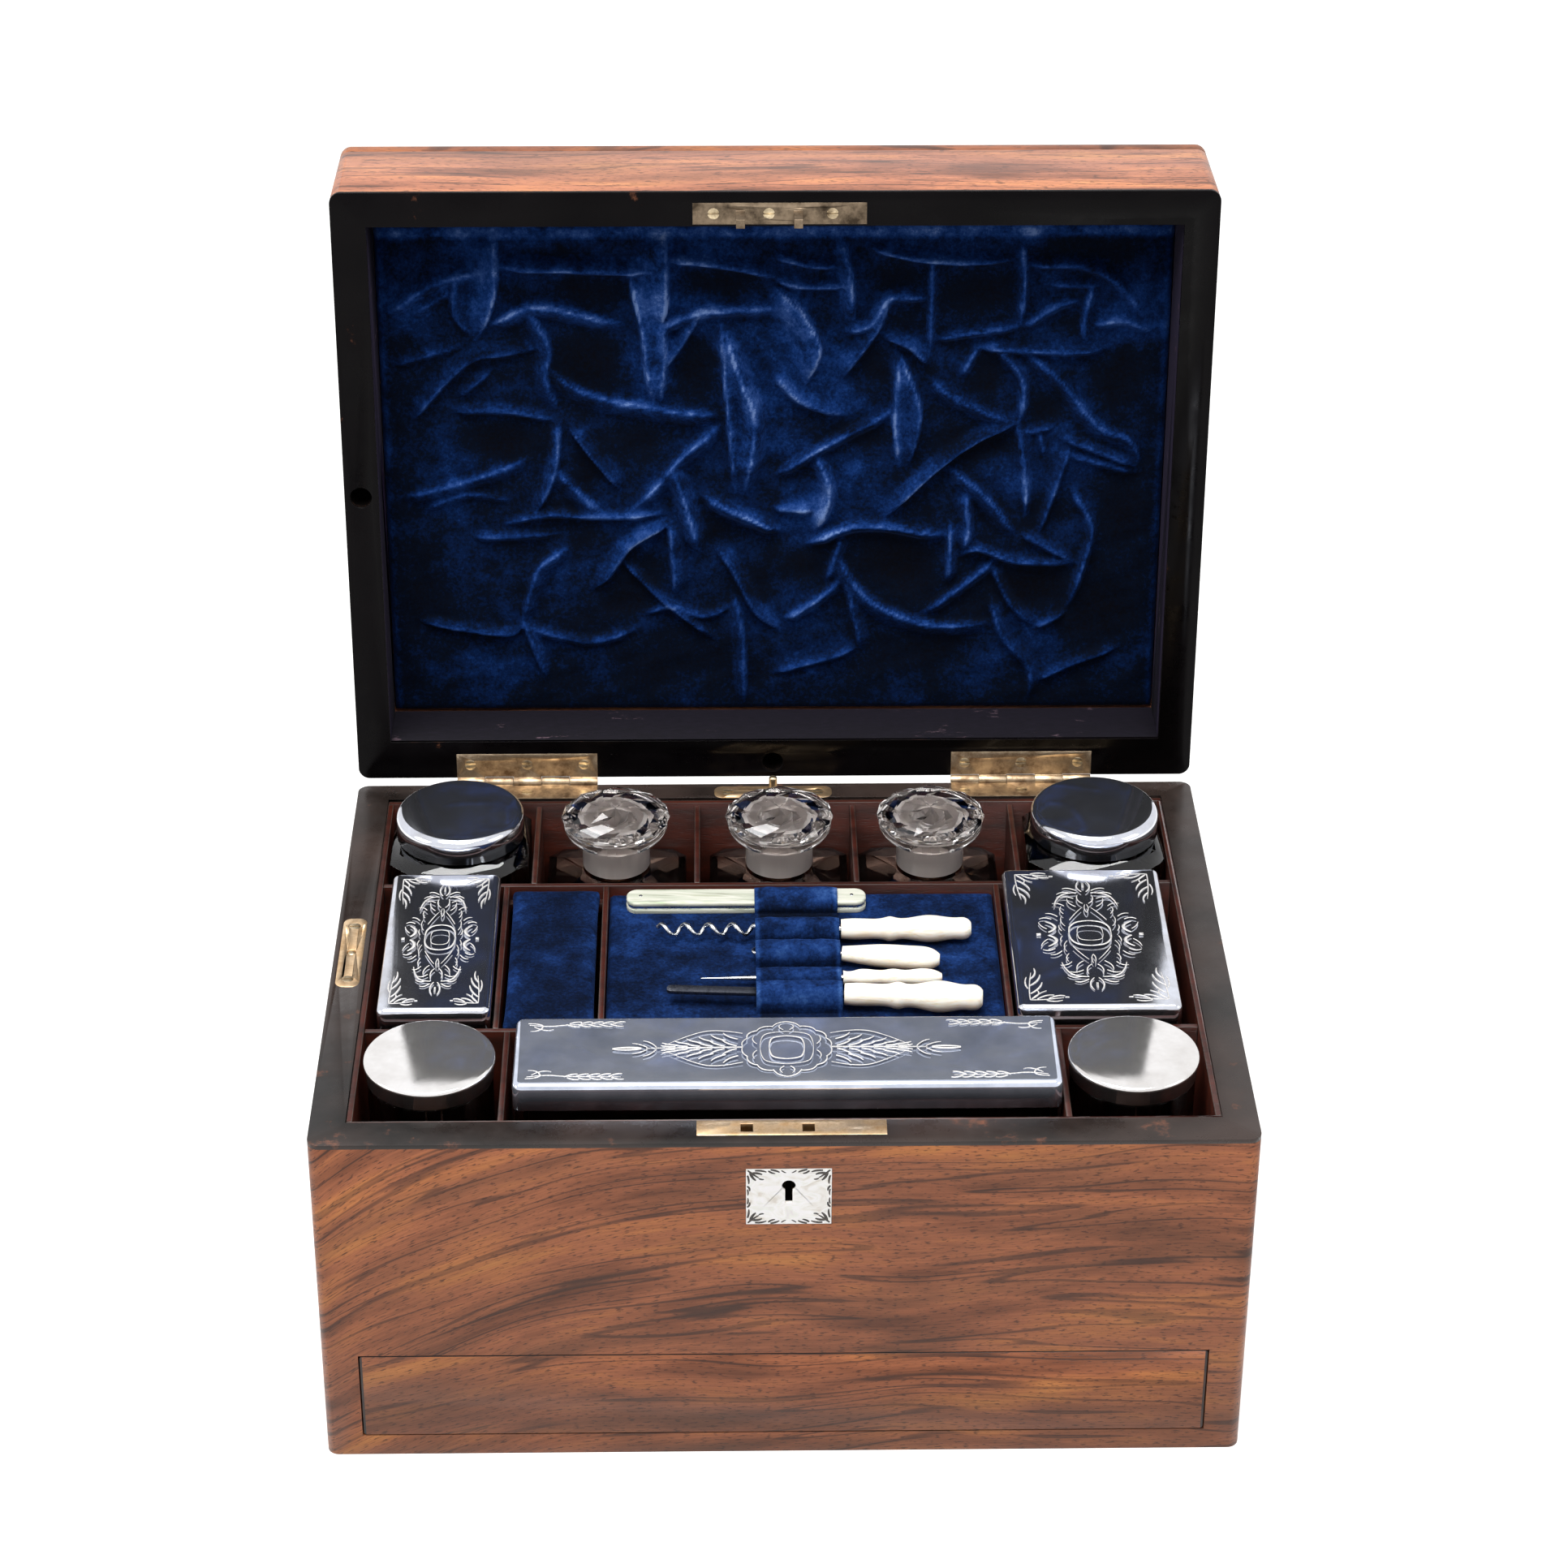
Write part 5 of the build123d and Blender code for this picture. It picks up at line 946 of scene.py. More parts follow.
def star_stopper(number):
    """A cut stopper that takes the place of the frame's simpler one."""
    low, high = map(Vector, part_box(f"stopper_{number}"))
    x, y = (low.x + high.x) / 2, (low.y + high.y) / 2
    start, radius, _ = STAR_RINGS[0]
    stopper = add_piece(
        f"stopper_{number}_cut",
        bpy.ops.mesh.primitive_circle_add,
        vertices=STAR_CORNERS,
        radius=radius * MM,
        fill_type="TRIFAN",
        location=(x, y, start * MM),
    )
    bpy.ops.object.mode_set(mode="EDIT")
    bpy.ops.mesh.select_all(action="SELECT")
    for (foot, inner, _), (top, outer, _) in zip(STAR_RINGS, STAR_RINGS[1:]):
        lift = {"value": (0, 0, (top - foot) * MM)}
        bpy.ops.mesh.extrude_region_move(TRANSFORM_OT_translate=lift)
        widen = outer / inner
        bpy.ops.transform.resize(value=(widen, widen, 1), center_override=(x, y, top * MM))
    bpy.ops.object.mode_set(mode="OBJECT")
    turn_outwards(stopper)
    for vert in stopper.data.vertices:
        out = Vector((vert.co.x - x, vert.co.y - y))
        if out.length < MM:
            if vert.co.z > high.z - STAR_CAP:
                vert.co.z = STAR_MIDDLE * MM
            continue
        ray = round(math.atan2(out.y, out.x) / (2 * math.pi) * STAR_CORNERS)
        for height, _, cut in STAR_RINGS:
            if abs(vert.co.z - height * MM) < RING_GAP:
                vert.co.z += cut * MM * (1 if ray % 2 else -1)
                break
    stopper.data.shade_flat()
    stopper.data.materials.append(stopper_glass)
    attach(stopper, f"stopper_{number}")
    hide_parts(f"stopper_{number}")


for number in (1, 2, 3):
    star_stopper(number)


# ---- Silver lids ----
# Sheet silver raised and polished, with soft edges. Years of rubbing have left fine scratches and a
# warm grey film in the corners. The lids of the glass boxes are gently pillowed.

def silver(name, clean, film, metal):
    """Old polished silver with very fine scratches: clean and film are its colours, and metal below
    1 lays a matt share of them over the mirror.
    """
    finish, tree, shader = new_finish(name)
    haze = noise(tree, 70, 6.0, 0.6)
    hair = noise(tree, (400, 12000, 12000), 1.0, turn=(0, 0, 0.7))
    plug(tree, shader, {
        "Base Color": ramp(tree, haze, ((0.35, clean), (0.72, film))),
        "Roughness": ramp(tree, haze, ((0.35, 0.06), (0.75, 0.15))),
        "Normal": relief(tree, hair, 0.008, 0.3),
        "Metallic": metal,
    })
    return finish


# the blue tint of the polished silver and of the long lid's is a painted reflection of the blue
# velvet, and the long lid's low metal lays painted light on it
bright_silver = silver("silver_polished", "#e8ecf6", "#c8c8cc", 0.978)
filmed_silver = silver("silver_filmed", "#f6f4f2", "#dedad6", 0.915)
bluish_lit_silver = silver("silver_painted_blue_light", "#dfe5f4", "#b4bccc", 0.84)
for side in ("left", "right"):
    dress_node(f"jar_{side}_lid", bright_silver)
    dress_node(f"pot_{side}_lid", filmed_silver)

LID_CORNER = 2.8 * MM
LID_ROLL = 2.0 * MM
LID_SILVER = 0.8 * MM
LID_RISE = 1.0 * MM
TOP_CUTS = 15
NEAR = 0.01 * MM


def pillow(x, y, half_w, half_d):
    """How far the top of a lid swells at a point, from its rolled edge to its middle."""
    return LID_RISE * max(0.0, 1 - (x / half_w) ** 2) * max(0.0, 1 - (y / half_d) ** 2)


def pillowed_lid(name, finish):
    """A rectangular silver lid that takes the place of the frame's plain one."""
    low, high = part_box(name)
    middle = [(a + b) / 2 for a, b in zip(low, high)]
    size = [b - a for a, b in zip(low, high)]
    lid_name = f"{name}_silver"
    lid = add_piece(lid_name, bpy.ops.mesh.primitive_cube_add, size, size=1, location=middle)
    bpy.ops.object.mode_set(mode="EDIT")

    def choose(test, kind):
        """Select only the corners, edges or faces that pass a test."""
        bpy.ops.mesh.select_mode(type={"verts": "VERT", "edges": "EDGE", "faces": "FACE"}[kind])
        bpy.ops.mesh.select_all(action="DESELECT")
        mesh = bmesh.from_edit_mesh(lid.data)
        for part in getattr(mesh, kind):
            if test(part):
                part.select_set(True)
        bmesh.update_edit_mesh(lid.data)

    choose(lambda edge: abs(edge.verts[0].co.z - edge.verts[1].co.z) > MM, "edges")
    bpy.ops.mesh.bevel(offset=LID_CORNER, segments=4)
    choose(lambda edge: all(vert.co.z > high[2] - 0.1 * MM for vert in edge.verts), "edges")
    bpy.ops.mesh.bevel(offset=LID_ROLL, segments=5)
    # the top face's four rounded corners close to points, so that it divides into a regular grid
    inner = [size[axis] / 2 - LID_CORNER - 0.1 * MM for axis in range(2)]
    for side_x, side_y in ((-1, -1), (-1, 1), (1, -1), (1, 1)):
        choose(
            lambda vert: vert.co.z > high[2] - NEAR
            and (vert.co.x - middle[0]) * side_x > inner[0]
            and (vert.co.y - middle[1]) * side_y > inner[1],
            "verts",
        )
        bpy.ops.mesh.merge(type="CENTER")
    choose(lambda face: face.normal.z > 0.99, "faces")
    bpy.ops.mesh.subdivide(number_cuts=TOP_CUTS)
    choose(lambda face: face.normal.z < -0.99, "faces")
    bpy.ops.mesh.delete(type="FACE")
    bpy.ops.object.mode_set(mode="OBJECT")
    half_w = size[0] / 2 - LID_ROLL
    half_d = size[1] / 2 - LID_ROLL
    for vert in lid.data.vertices:
        if vert.co.z > high[2] - NEAR:
            vert.co.z += pillow(vert.co.x - middle[0], vert.co.y - middle[1], half_w, half_d)
    wall = lid.modifiers.new("wall", "SOLIDIFY")
    wall.thickness = LID_SILVER
    wall.offset = -1
    lid.data.shade_smooth()
    lid.data.materials.append(finish)
    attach(lid, name)
    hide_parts(name)
    return middle, half_w, half_d, high[2]


# The engraver's cuts catch the light, so the leaves read as pale matt lines on the mirror.
cut_silver, tree, shader = new_finish("silver_engraved")
grit = noise(tree, 2600, 1.0)
plug(tree, shader, {
    "Base Color": ramp(tree, grit, ((0.3, "#c2bfbc"), (0.7, "#f4f2f0"))),
    "Normal": relief(tree, grit, 0.05, 0.8),
    "Metallic": 0.75,
    "Roughness": 0.62,
})

# one quarter of the ornament of the square lid, from the lid's middle, in mm
cartouche = (
    (1.0, (0, 7.9), (3.6, 7.6), (6.2, 5.4), (7.2, 2.6), (7.2, 0)),
    (0.5, (0, 4.6), (3.4, 4.4), (4.4, 2.2), (4.4, 0)),
    (0.7, (6.4, 8.4), (4.4, 12.6), (1.6, 16.4)),
    (0.6, (0, 13.2), (1.2, 15.6), (0.3, 18.6)),
    (0.8, (1.0, 19.2), (3.6, 21.4), (2.4, 25.0)),
    (0.8, (3.6, 17.2), (6.6, 19.4), (6.2, 22.6)),
    (0.9, (2.4, 26.6), (7.0, 26.6), (10.4, 21.8), (11.0, 17.8)),
    (0.9, (4.0, 22.6), (7.0, 24.8), (8.6, 23.4)),
    (0.8, (7.6, 17.6), (9.4, 20.2), (11.6, 19.4)),
    (0.7, (8.2, 12.6), (10.0, 15.2), (8.6, 17.4)),
    (0.6, (8.2, 4.6), (10.4, 7.8), (8.8, 11.4)),
    (1.5, (14.2, 1.0), (11.6, 2.6), (12.0, 6.2), (14.8, 7.8)),
    (1.7, (16.9, 0.3), (18.4, 0.4)),
    (1.0, (12.6, 9.2), (15.0, 11.2), (16.8, 9.6)),
    (0.9, (10.4, 10.8), (12.4, 13.6), (14.4, 13.0)),
    (0.8, (14.6, 3.2), (16.8, 5.0), (17.2, 7.6)),
    (0.7, (9.6, 1.6), (10.8, 3.6), (10.2, 5.4)),
    (0.9, (0.8, 27.2), (3.6, 30.6), (1.2, 34.4)),
    (1.0, (2.6, 28.0), (5.6, 30.6), (7.4, 29.2)),
    (0.9, (4.8, 26.4), (8.2, 27.6), (9.6, 25.4)),
    (0.7, (0.2, 30.0), (0.2, 33.2)),
)
# one corner's spray: distances in from the two edges of the mirror field
corner_spray = (
    (0.7, (1.2, 1.2), (6.0, 0.9), (12.6, 2.4)),
    (1.0, (3.6, 1.6), (6.6, 4.4), (9.4, 3.8)),
    (1.0, (7.4, 1.8), (10.6, 4.2), (13.0, 3.4)),
    (0.9, (6.6, 0.8), (9.6, -0.4), (12.0, 0.8)),
    (1.4, (13.0, 2.6), (14.4, 2.6)),
    (0.7, (1.2, 1.2), (0.9, 8.0), (2.4, 17.4)),
    (1.1, (1.6, 5.0), (5.0, 7.6), (5.8, 11.4)),
    (1.1, (1.4, 9.6), (4.8, 12.0), (5.4, 16.0)),
    (1.0, (1.8, 13.6), (4.6, 16.4), (3.6, 20.0)),
    (0.9, (0.8, 8.0), (-0.5, 11.4), (0.7, 14.8)),
    (0.8, (1.6, 1.6), (5.6, 4.6), (3.6, 7.2)),
    (0.8, (1.6, 1.6), (4.6, 5.6), (7.0, 6.4)),
)
# one quarter of the long lid's ornament, and its corner
long_branch = [
    (0.9, (0, 7.2), (4.2, 6.8), (5.6, 3.8), (5.8, 0)),
    (0.5, (0, 10.2), (6.6, 9.6), (8.6, 5.2), (8.8, 0)),
    (1.0, (0, 17.2), (3.6, 16.6), (4.6, 13.2)),
    (1.0, (4.4, 13.8), (8.8, 14.2), (9.8, 10.4)),
    (1.0, (9.6, 10.8), (13.4, 9.6), (13.0, 5.6)),
    (0.8, (12.8, 5.8), (15.4, 3.4), (14.4, 0)),
    (0.7, (9.8, 2.0), (12.0, 4.4), (10.6, 7.2)),
    (0.8, (1.0, 11.4), (3.4, 13.2), (1.6, 15.2)),
    (0.6, (14.4, 9.0), (23.0, 12.2), (32.0, 8.4), (40.0, 1.6)),
    (0.6, (14.6, 0.2), (30.0, 0.2), (46.0, 0.2)),
    (0.9, (42.6, 0.6), (44.4, 4.2), (47.0, 4.8)),
    (0.9, (45.6, 0.6), (48.0, 3.0), (50.6, 3.2)),
    (1.7, (47.6, 0.2), (52.0, 1.3), (57.0, 0.2)),
]
for leaf in range(6):
    x = 16.4 + 4.0 * leaf
    spread = 1 - 0.13 * leaf
    inner = ((x, 0.9), (x + 3.4, 2.2 * spread), (x + 4.8, 4.8 * spread))
    outer = ((x - 0.4, 5.2 * spread), (x + 3.2, 6.6 * spread), (x + 4.4, 9.4 * spread))
    long_branch += [(1.3, *inner), (1.2, *outer)]
long_corner = [
    (0.8, (1.0, 1.0), (6.6, 1.2), (4.8, 6.2), (1.8, 6.0)),
    (0.7, (1.4, 2.0), (8.0, 3.4), (14.0, 1.8), (32.0, 1.6)),
    (0.8, (3.0, 3.2), (6.6, 6.6), (9.4, 5.0)),
]
for leaf in range(5):
    x = 13.6 + 3.6 * leaf
    long_corner.append((1.2, (x, 1.8), (x + 2.6, 3.8), (x + 4.4, 3.4)))
    long_corner.append((1.1, (x + 1.0, 1.4), (x + 3.4, -0.3), (x + 5.0, 0.4)))

# the ornament keeps this far from the rolled edge, and stands this high
FIELD_MARGIN = 1.2
CUT_FLATTEN = 0.16
CUT_PROUD = 0.02 * MM
LEAF_FINE = 0.84


def engrave_lid(name, finish, middle_strokes, corner_strokes, wide, deep):
    """Lay an ornament on a pillowed lid, its strokes sunk to half their height."""
    middle, half_w, half_d, top = pillowed_lid(name, finish)
    field_w = half_w / MM - FIELD_MARGIN
    field_d = half_d / MM - FIELD_MARGIN
    strokes = mapped(middle_strokes, lambda x, y: (x * wide, y * deep))
    strokes += mapped(corner_strokes, lambda x, y: (field_w - x * wide, field_d - y * deep))
    cuts = engraved(f"{name}_engraving", four_ways(strokes), cut_silver, LEAF_FINE)
    for vert in cuts.data.vertices:
        x, y, z = vert.co
        swell = pillow(x, y, half_w, half_d)
        vert.co = (x + middle[0], y + middle[1], z * CUT_FLATTEN + top + swell + CUT_PROUD)
    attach(cuts, name)


engrave_lid("box_right_lid", bright_silver, cartouche, corner_spray, 1.0, 1.0)
engrave_lid("box_left_lid", bright_silver, cartouche, corner_spray, 0.72, 1.0)
engrave_lid("box_long_lid", bluish_lit_silver, long_branch, long_corner, 1.0, 0.92)


# ---- Velvet pad ----
# A thin pad of wadding on card, covered in blue velvet, that fills the cell left of the tools. The
# stuffing pushes it up in the middle; its velvet is darker there and lighter towards its left and
# right edges.
# It is stuffed at ten times its size, where the cloth solver is steadier.
SIM_SCALE = 10
SIM_STEPS = 20
PAD_SLACK = 0.6 * MM
PAD_SWELL = 0.9 * MM
PAD_PROUD = 0.3 * MM
PAD_ROUND = 1.3 * MM
PAD_VOXEL = 1.5 * MM


def set_pile_and_light(piece, lean):
    """Store the velvet's tone at each point, pile lean with painted light, from a function of its
    place in mm.
    """
    places = [[coordinate / MM for coordinate in vert.co] for vert in piece.data.vertices]
    store_pile_and_light(piece.data, [lean(*place) for place in places])


pad_low, pad_high = map(Vector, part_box("velvet_pad"))
pad_middle = (pad_low + pad_high) / 2
pad_sides = [(side - PAD_SLACK) * SIM_SCALE for side in pad_high - pad_low]
pad = add_piece("velvet_pad_stuffed", bpy.ops.mesh.primitive_cube_add, pad_sides, size=1)
bpy.ops.object.mode_set(mode="EDIT")
bpy.ops.mesh.select_all(action="SELECT")
bpy.ops.mesh.bevel(offset=PAD_ROUND * SIM_SCALE, segments=3)
bpy.ops.object.mode_set(mode="OBJECT")
blocks = pad.modifiers.new("blocks", "REMESH")
blocks.mode = "VOXEL"
blocks.voxel_size = PAD_VOXEL * SIM_SCALE
bpy.ops.object.modifier_apply(modifier="blocks")
before = [vert.co.copy() for vert in pad.data.vertices]
stuffing = pad.modifiers.new("stuffing", "CLOTH")
stuffing.settings.use_pressure = True
stuffing.settings.uniform_pressure_force = 4
stuffing.settings.effector_weights.gravity = 0
for step in range(1, SIM_STEPS + 1):
    bpy.context.scene.frame_set(step)
bpy.ops.object.modifier_apply(modifier="stuffing")
bpy.context.scene.frame_set(1)
# it lies flat on its ledges and is held in by the cell's walls
pad_top = pad_high + Vector((0, 0, PAD_PROUD))
for vert, start in zip(pad.data.vertices, before):
    move = vert.co - start
    if move.length > PAD_SWELL * SIM_SCALE:
        move *= PAD_SWELL * SIM_SCALE / move.length
    place = (start + move) / SIM_SCALE + pad_middle
    vert.co = [max(low, min(high, spot)) for low, high, spot in zip(pad_low, pad_top, place)]
set_pile_and_light(pad, lambda x, y, z: 0.20 + 0.20 * min(1.0, abs(x - pad_middle.x / MM) / 15) ** 4)
rounder = pad.modifiers.new("rounder", "SUBSURF")
rounder.levels = rounder.render_levels = 1
pad.data.shade_smooth()
DEEP_BLUES = (
    (0.0, "#00030c"), (0.2, "#020b20"), (0.36, "#07193a"),
    (0.55, "#122c5c"), (0.8, "#284678"), (1.0, "#486090"),
)
flat_velvet = velvet("silk_velvet_flat", DEEP_BLUES, 0.12)
pad.data.materials.append(flat_velvet)
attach(pad, "pad")
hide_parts("velvet_pad")


# ---- Tool board ----
# A board covered in the same velvet, glued over its edges. The pile is pressed flat and shiny under
# the tools and along the strap.
board_low, board_high = map(Vector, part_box("tool_board"))
BOARD_ROUND = 1.4 * MM
BOARD_STEP = 1.1 * MM
BOARD_WAVE = 0.07 * MM
BOARD_LEAN = 0.29
# middle, half width, half depth and strength of each pressed mark, in mm, from the board's middle
PRESSED = (
    (-28, 36, 30, 6, 0.16), (40, 16, 26, 5, 0.18), (40, 1, 24, 5, 0.18), (38, -13, 26, 4, 0.14),
    (40, -28, 26, 5, 0.18), (-30, 12, 22, 5, 0.10), (-44, -30, 12, 6, 0.12), (-2, -38, 40, 3, 0.10),
)


def velvet_grid(name, low, high, z, columns, rows):
    """A flat grid between two corners, for velvet that lies on something."""
    middle = ((low.x + high.x) / 2, (low.y + high.y) / 2, z)
    size = (high.x - low.x, high.y - low.y, 1)
    shape = {"x_subdivisions": columns, "y_subdivisions": rows, "size": 1, "location": middle}
    return add_piece(name, bpy.ops.mesh.primitive_grid_add, size, **shape)


def inset(spot, low, high):
    """How far a point lies inside the nearest side of a rectangle."""
    return min(spot.x - low.x, high.x - spot.x, spot.y - low.y, high.y - spot.y)


steps = [int(side / BOARD_STEP) for side in (board_high - board_low).xy]
board = velvet_grid("tool_board_velvet", board_low, board_high, board_high.z, *steps)
for vert in board.data.vertices:
    x, y, z = vert.co
    share = min(1.0, max(0.0, 1 - inset(vert.co, board_low, board_high) / BOARD_ROUND))
    wave = math.sin(x * 210 + 2 * math.sin(y * 160)) * math.sin(y * 240 + x * 90)
    vert.co.z -= BOARD_ROUND * (1 - math.sqrt(1 - share**2)) + BOARD_WAVE * (1 + wave) * (1 - share)
# its edge goes straight down to a closed underside
bpy.ops.object.mode_set(mode="EDIT")
bpy.ops.mesh.select_all(action="SELECT")
bpy.ops.mesh.region_to_loop()
bpy.ops.mesh.extrude_region_move()
for vert in bmesh.from_edit_mesh(board.data).verts:
    if vert.select:
        vert.co.z = board_low.z
bpy.ops.mesh.edge_face_add()
bpy.ops.object.mode_set(mode="OBJECT")
turn_outwards(board)
board.data.shade_smooth()
board_middle = (board_low + board_high) / 2 / MM


def board_lean(x, y, z):
    """How far the pile leans on the tool board."""
    lean = BOARD_LEAN
    for off_x, off_y, half_w, half_d, strength in PRESSED:
        across = (x - board_middle.x - off_x) / half_w
        along = (y - board_middle.y - off_y) / half_d
        lean += strength * math.exp(-(across**2) - along**2)
    return lean


set_pile_and_light(board, board_lean)
board.data.materials.append(flat_velvet)
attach(board, "tool_tray")
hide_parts("tool_board")


# ---- Strap over the tools ----
# A doubled band of the same velvet, sewn down to the board between five loops, with a narrow bound
# edge on each side. The velvet is painted darker in the valleys between the loops, as painted
# shade, and lighter the higher it stands, as painted light on the tops of the loops; the bound
# edges are rubbed.
STRAP_X = 0.0062
STRAP_W = 0.029
STRAP_THICK = 0.8 * MM
STRAP_STEPS = 30
STRAP_BINDING = 0.9
strap_low, strap_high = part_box("tool_strap")
# each loop: its middle, from the case's front face, half its clear width, and its clear height
LOOPS = (
    (149.0, 5.4, 126.4), (126.0, 3.2, 129.4), (113.3, 4.2, 128.1), (98.3, 2.8, 127.1),
    (85.4, 4.4, 129.5),
)
BOARD_FACE = board_high.z / MM
STRAP_MID = 0.45
run = [(strap_high[1] / MM, BOARD_FACE + STRAP_MID)]
for middle, half, top in LOOPS:
    y = FRONT / MM + middle
    shoulder = BOARD_FACE + (top - BOARD_FACE) * 0.6
    # one side of the loop, from its foot up: how far out from its middle, and how high
    side = (
        (half + 2.0, BOARD_FACE + 0.5),
        (half + 0.75, BOARD_FACE + 1.0),
        (half + 0.5, shoulder),
        (half * 0.7, top + 0.1),
    )
    run += [(y + out, z) for out, z in side] + [(y, top + 0.6)]
    run += [(y - out, z) for out, z in side[::-1]]
run.append((strap_low[1] / MM, BOARD_FACE + STRAP_MID))
path = smooth_run(run, 5)
corners = []
painted_light_and_pile = []
for y, z in path:
    lift = max(0.0, z - BOARD_FACE)
    for step in range(STRAP_STEPS + 1):
        x = step / STRAP_STEPS - 0.5
        crease = 0.10 * math.sin(x * 19 + y * 0.5) * min(1, lift / 3) + 0.05 * math.sin(x * 43 - y)
        pull = 0.35 * min(1, lift / 4) * (1 - (2 * x) ** 6)
        height = z + crease + pull - 0.3 * min(1, lift / 4)
        corners.append((STRAP_X + x * STRAP_W, y * MM, height * MM))
        rubbed = 0.24 if abs(2 * x) > STRAP_BINDING else 0.0
        # painted light and shade: lighter the higher the strap stands; the bound edges are rubbed
        painted_light_and_pile.append(0.02 + 0.075 * min(5.5, height - BOARD_FACE) + rubbed)
row = STRAP_STEPS + 1
starts = [a * row + b for a in range(len(path) - 1) for b in range(STRAP_STEPS)]
strap_mesh = bpy.data.meshes.new("tool_strap_velvet")
strap_mesh.from_pydata(corners, [], [(a, a + row, a + row + 1, a + 1) for a in starts])
store_pile_and_light(strap_mesh, painted_light_and_pile)
strap = show("tool_strap_velvet", strap_mesh)
turn_outwards(strap)


def double(piece, thickness):
    """Give a sheet its thickness, half on each side."""
    doubled = piece.modifiers.new("doubled", "SOLIDIFY")
    doubled.thickness = thickness
    doubled.offset = 0
    piece.data.shade_smooth()


double(strap, STRAP_THICK)
strap_mesh.materials.append(flat_velvet)
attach(strap, "tool_tray")
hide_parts("tool_strap")


# ---- Drawer lining ----
# A piece of the same velvet, cut to the drawer's bottom and glued down at its edges only, so it has
# a few soft waves.
LINING_THICK = 0.8 * MM
LINING_WAVE = 0.45 * MM
LINING_GLUED = 12 * MM
lining_low, lining_high = map(Vector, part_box("drawer_lining"))
lining_mid = lining_low.z + 0.5 * MM
drawer_velvet = velvet_grid("drawer_velvet", lining_low, lining_high, lining_mid, 110, 80)
for vert in drawer_velvet.data.vertices:
    x, y, z = vert.co
    free = min(1, inset(vert.co, lining_low, lining_high) / LINING_GLUED)
    wave = math.sin(x * 45 + 2 * math.sin(y * 38)) * math.sin(y * 52 + x * 20)
    vert.co.z += LINING_WAVE * (1 + wave) * free
# painted light: the lining is lighter on the crests of its waves
set_pile_and_light(drawer_velvet, lambda x, y, z: 0.24 + 0.2 * (z - lining_low.z / MM - 0.5))
double(drawer_velvet, LINING_THICK)
drawer_velvet.data.materials.append(flat_velvet)
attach(drawer_velvet, "drawer")
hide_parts("drawer_lining")


# ---- Tools under the strap ----
# A pearl-handled penknife, and four steels driven into handles of turned bone: corkscrew, button
# hook, stiletto and nail file. The bone has yellowed in its turned grooves, and its undersides are
# painted a darker tan, as painted shade.
bone, tree, shader = new_finish("turned_bone")
streak = noise(tree, (120, 1500, 1500), 3.0)
tone = ramp(tree, streak, ((0.28, "#ead9bd"), (0.5, "#f7efe0"), (0.7, "#fbf6ec")))
stain_and_shade = ramp(tree, noise(tree, 90, 4.0), ((0.52, 0.0), (0.8, 0.5)))
facing = node(tree, "SeparateXYZ", {0: node(tree, "TexCoord", {}).outputs["Normal"]})
# painted shade: faces that look down are turned towards the darker tan
under = node(tree, "MapRange", {0: facing.outputs[2], 1: 0.1, 2: -0.7, 3: 0.0, 4: 0.8})
plug(tree, shader, {
    "Base Color": blend(tree, maths(tree, "MAXIMUM", stain_and_shade, under), tone, "#dcb98a"),
    "Normal": relief(tree, streak, 0.05, 0.3),
    "Roughness": 0.28,
    "Subsurface Weight": 0.25,
    "Subsurface Radius": (0.0016, 0.0011, 0.0007),
    "Subsurface Scale": 1.0,
})


def steel(name, bright, dark, rough, cut=0.0):
    """Forged steel, polished along its length and spotted with rust; cut is its teeth's depth."""
    finish, tree, shader = new_finish(name)
    spot = noise(tree, 380, 5.0, 0.7)
    plug(tree, shader, {
        "Base Color": ramp(tree, spot, ((0.45, bright), (0.66, dark), (0.8, "#4a3022"))),
        "Roughness": ramp(tree, spot, ((0.45, rough), (0.75, rough + 0.3))),
        "Metallic": 1.0,
    })
    if cut:
        place = turned_coords(tree, 900, (0, 0, 0.9))
        teeth = node(tree, "TexWave", {"Vector": place, "Scale": 1.0, "Distortion": 0.2})
        plug(tree, shader, {"Normal": relief(tree, teeth.outputs["Fac"], cut, 0.8)})
    return finish


bright_steel = steel("steel_polished", "#dcdedf", "#8e8f92", 0.16)
dark_steel = steel("steel_file_cut", "#5a5d66", "#2c2e35", 0.32, 0.1)
BONE_ARRIS = 0.12 * MM
STEEL_ARRIS = 0.06 * MM
FILE_ARRIS = 0.08 * MM
SCALE_ARRIS = 0.8 * MM
for name in ("corkscrew", "button_hook", "stiletto", "nail_file"):
    dress_node(f"{name}_handle", bone, BONE_ARRIS)
for name in ("corkscrew", "button_hook", "stiletto", "penknife"):
    dress_node(f"{name}_steel", bright_steel, STEEL_ARRIS)
dress_node("nail_file_steel", dark_steel, FILE_ARRIS)

knife_pearl, tree, shader = new_finish("mother_of_pearl_scales")
# slabs cut along the shell: pale green and pink bands that run the length of the knife
SCALE_TONES = ((0.3, "#989a8a"), (0.45, "#b6b9a9"), (0.55, "#c8c7bb"), (0.68, "#a9ac99"))
layer = noise(tree, (35, 420, 420), 4.0, turn=(0, 0, 0.08), warp=0.8)
plug(tree, shader, {
    "Base Color": ramp(tree, layer, SCALE_TONES),
    "Roughness": 0.2,
    "Thin Film Thickness": 420,
})
dress_node("penknife_scales", knife_pearl, SCALE_ARRIS)

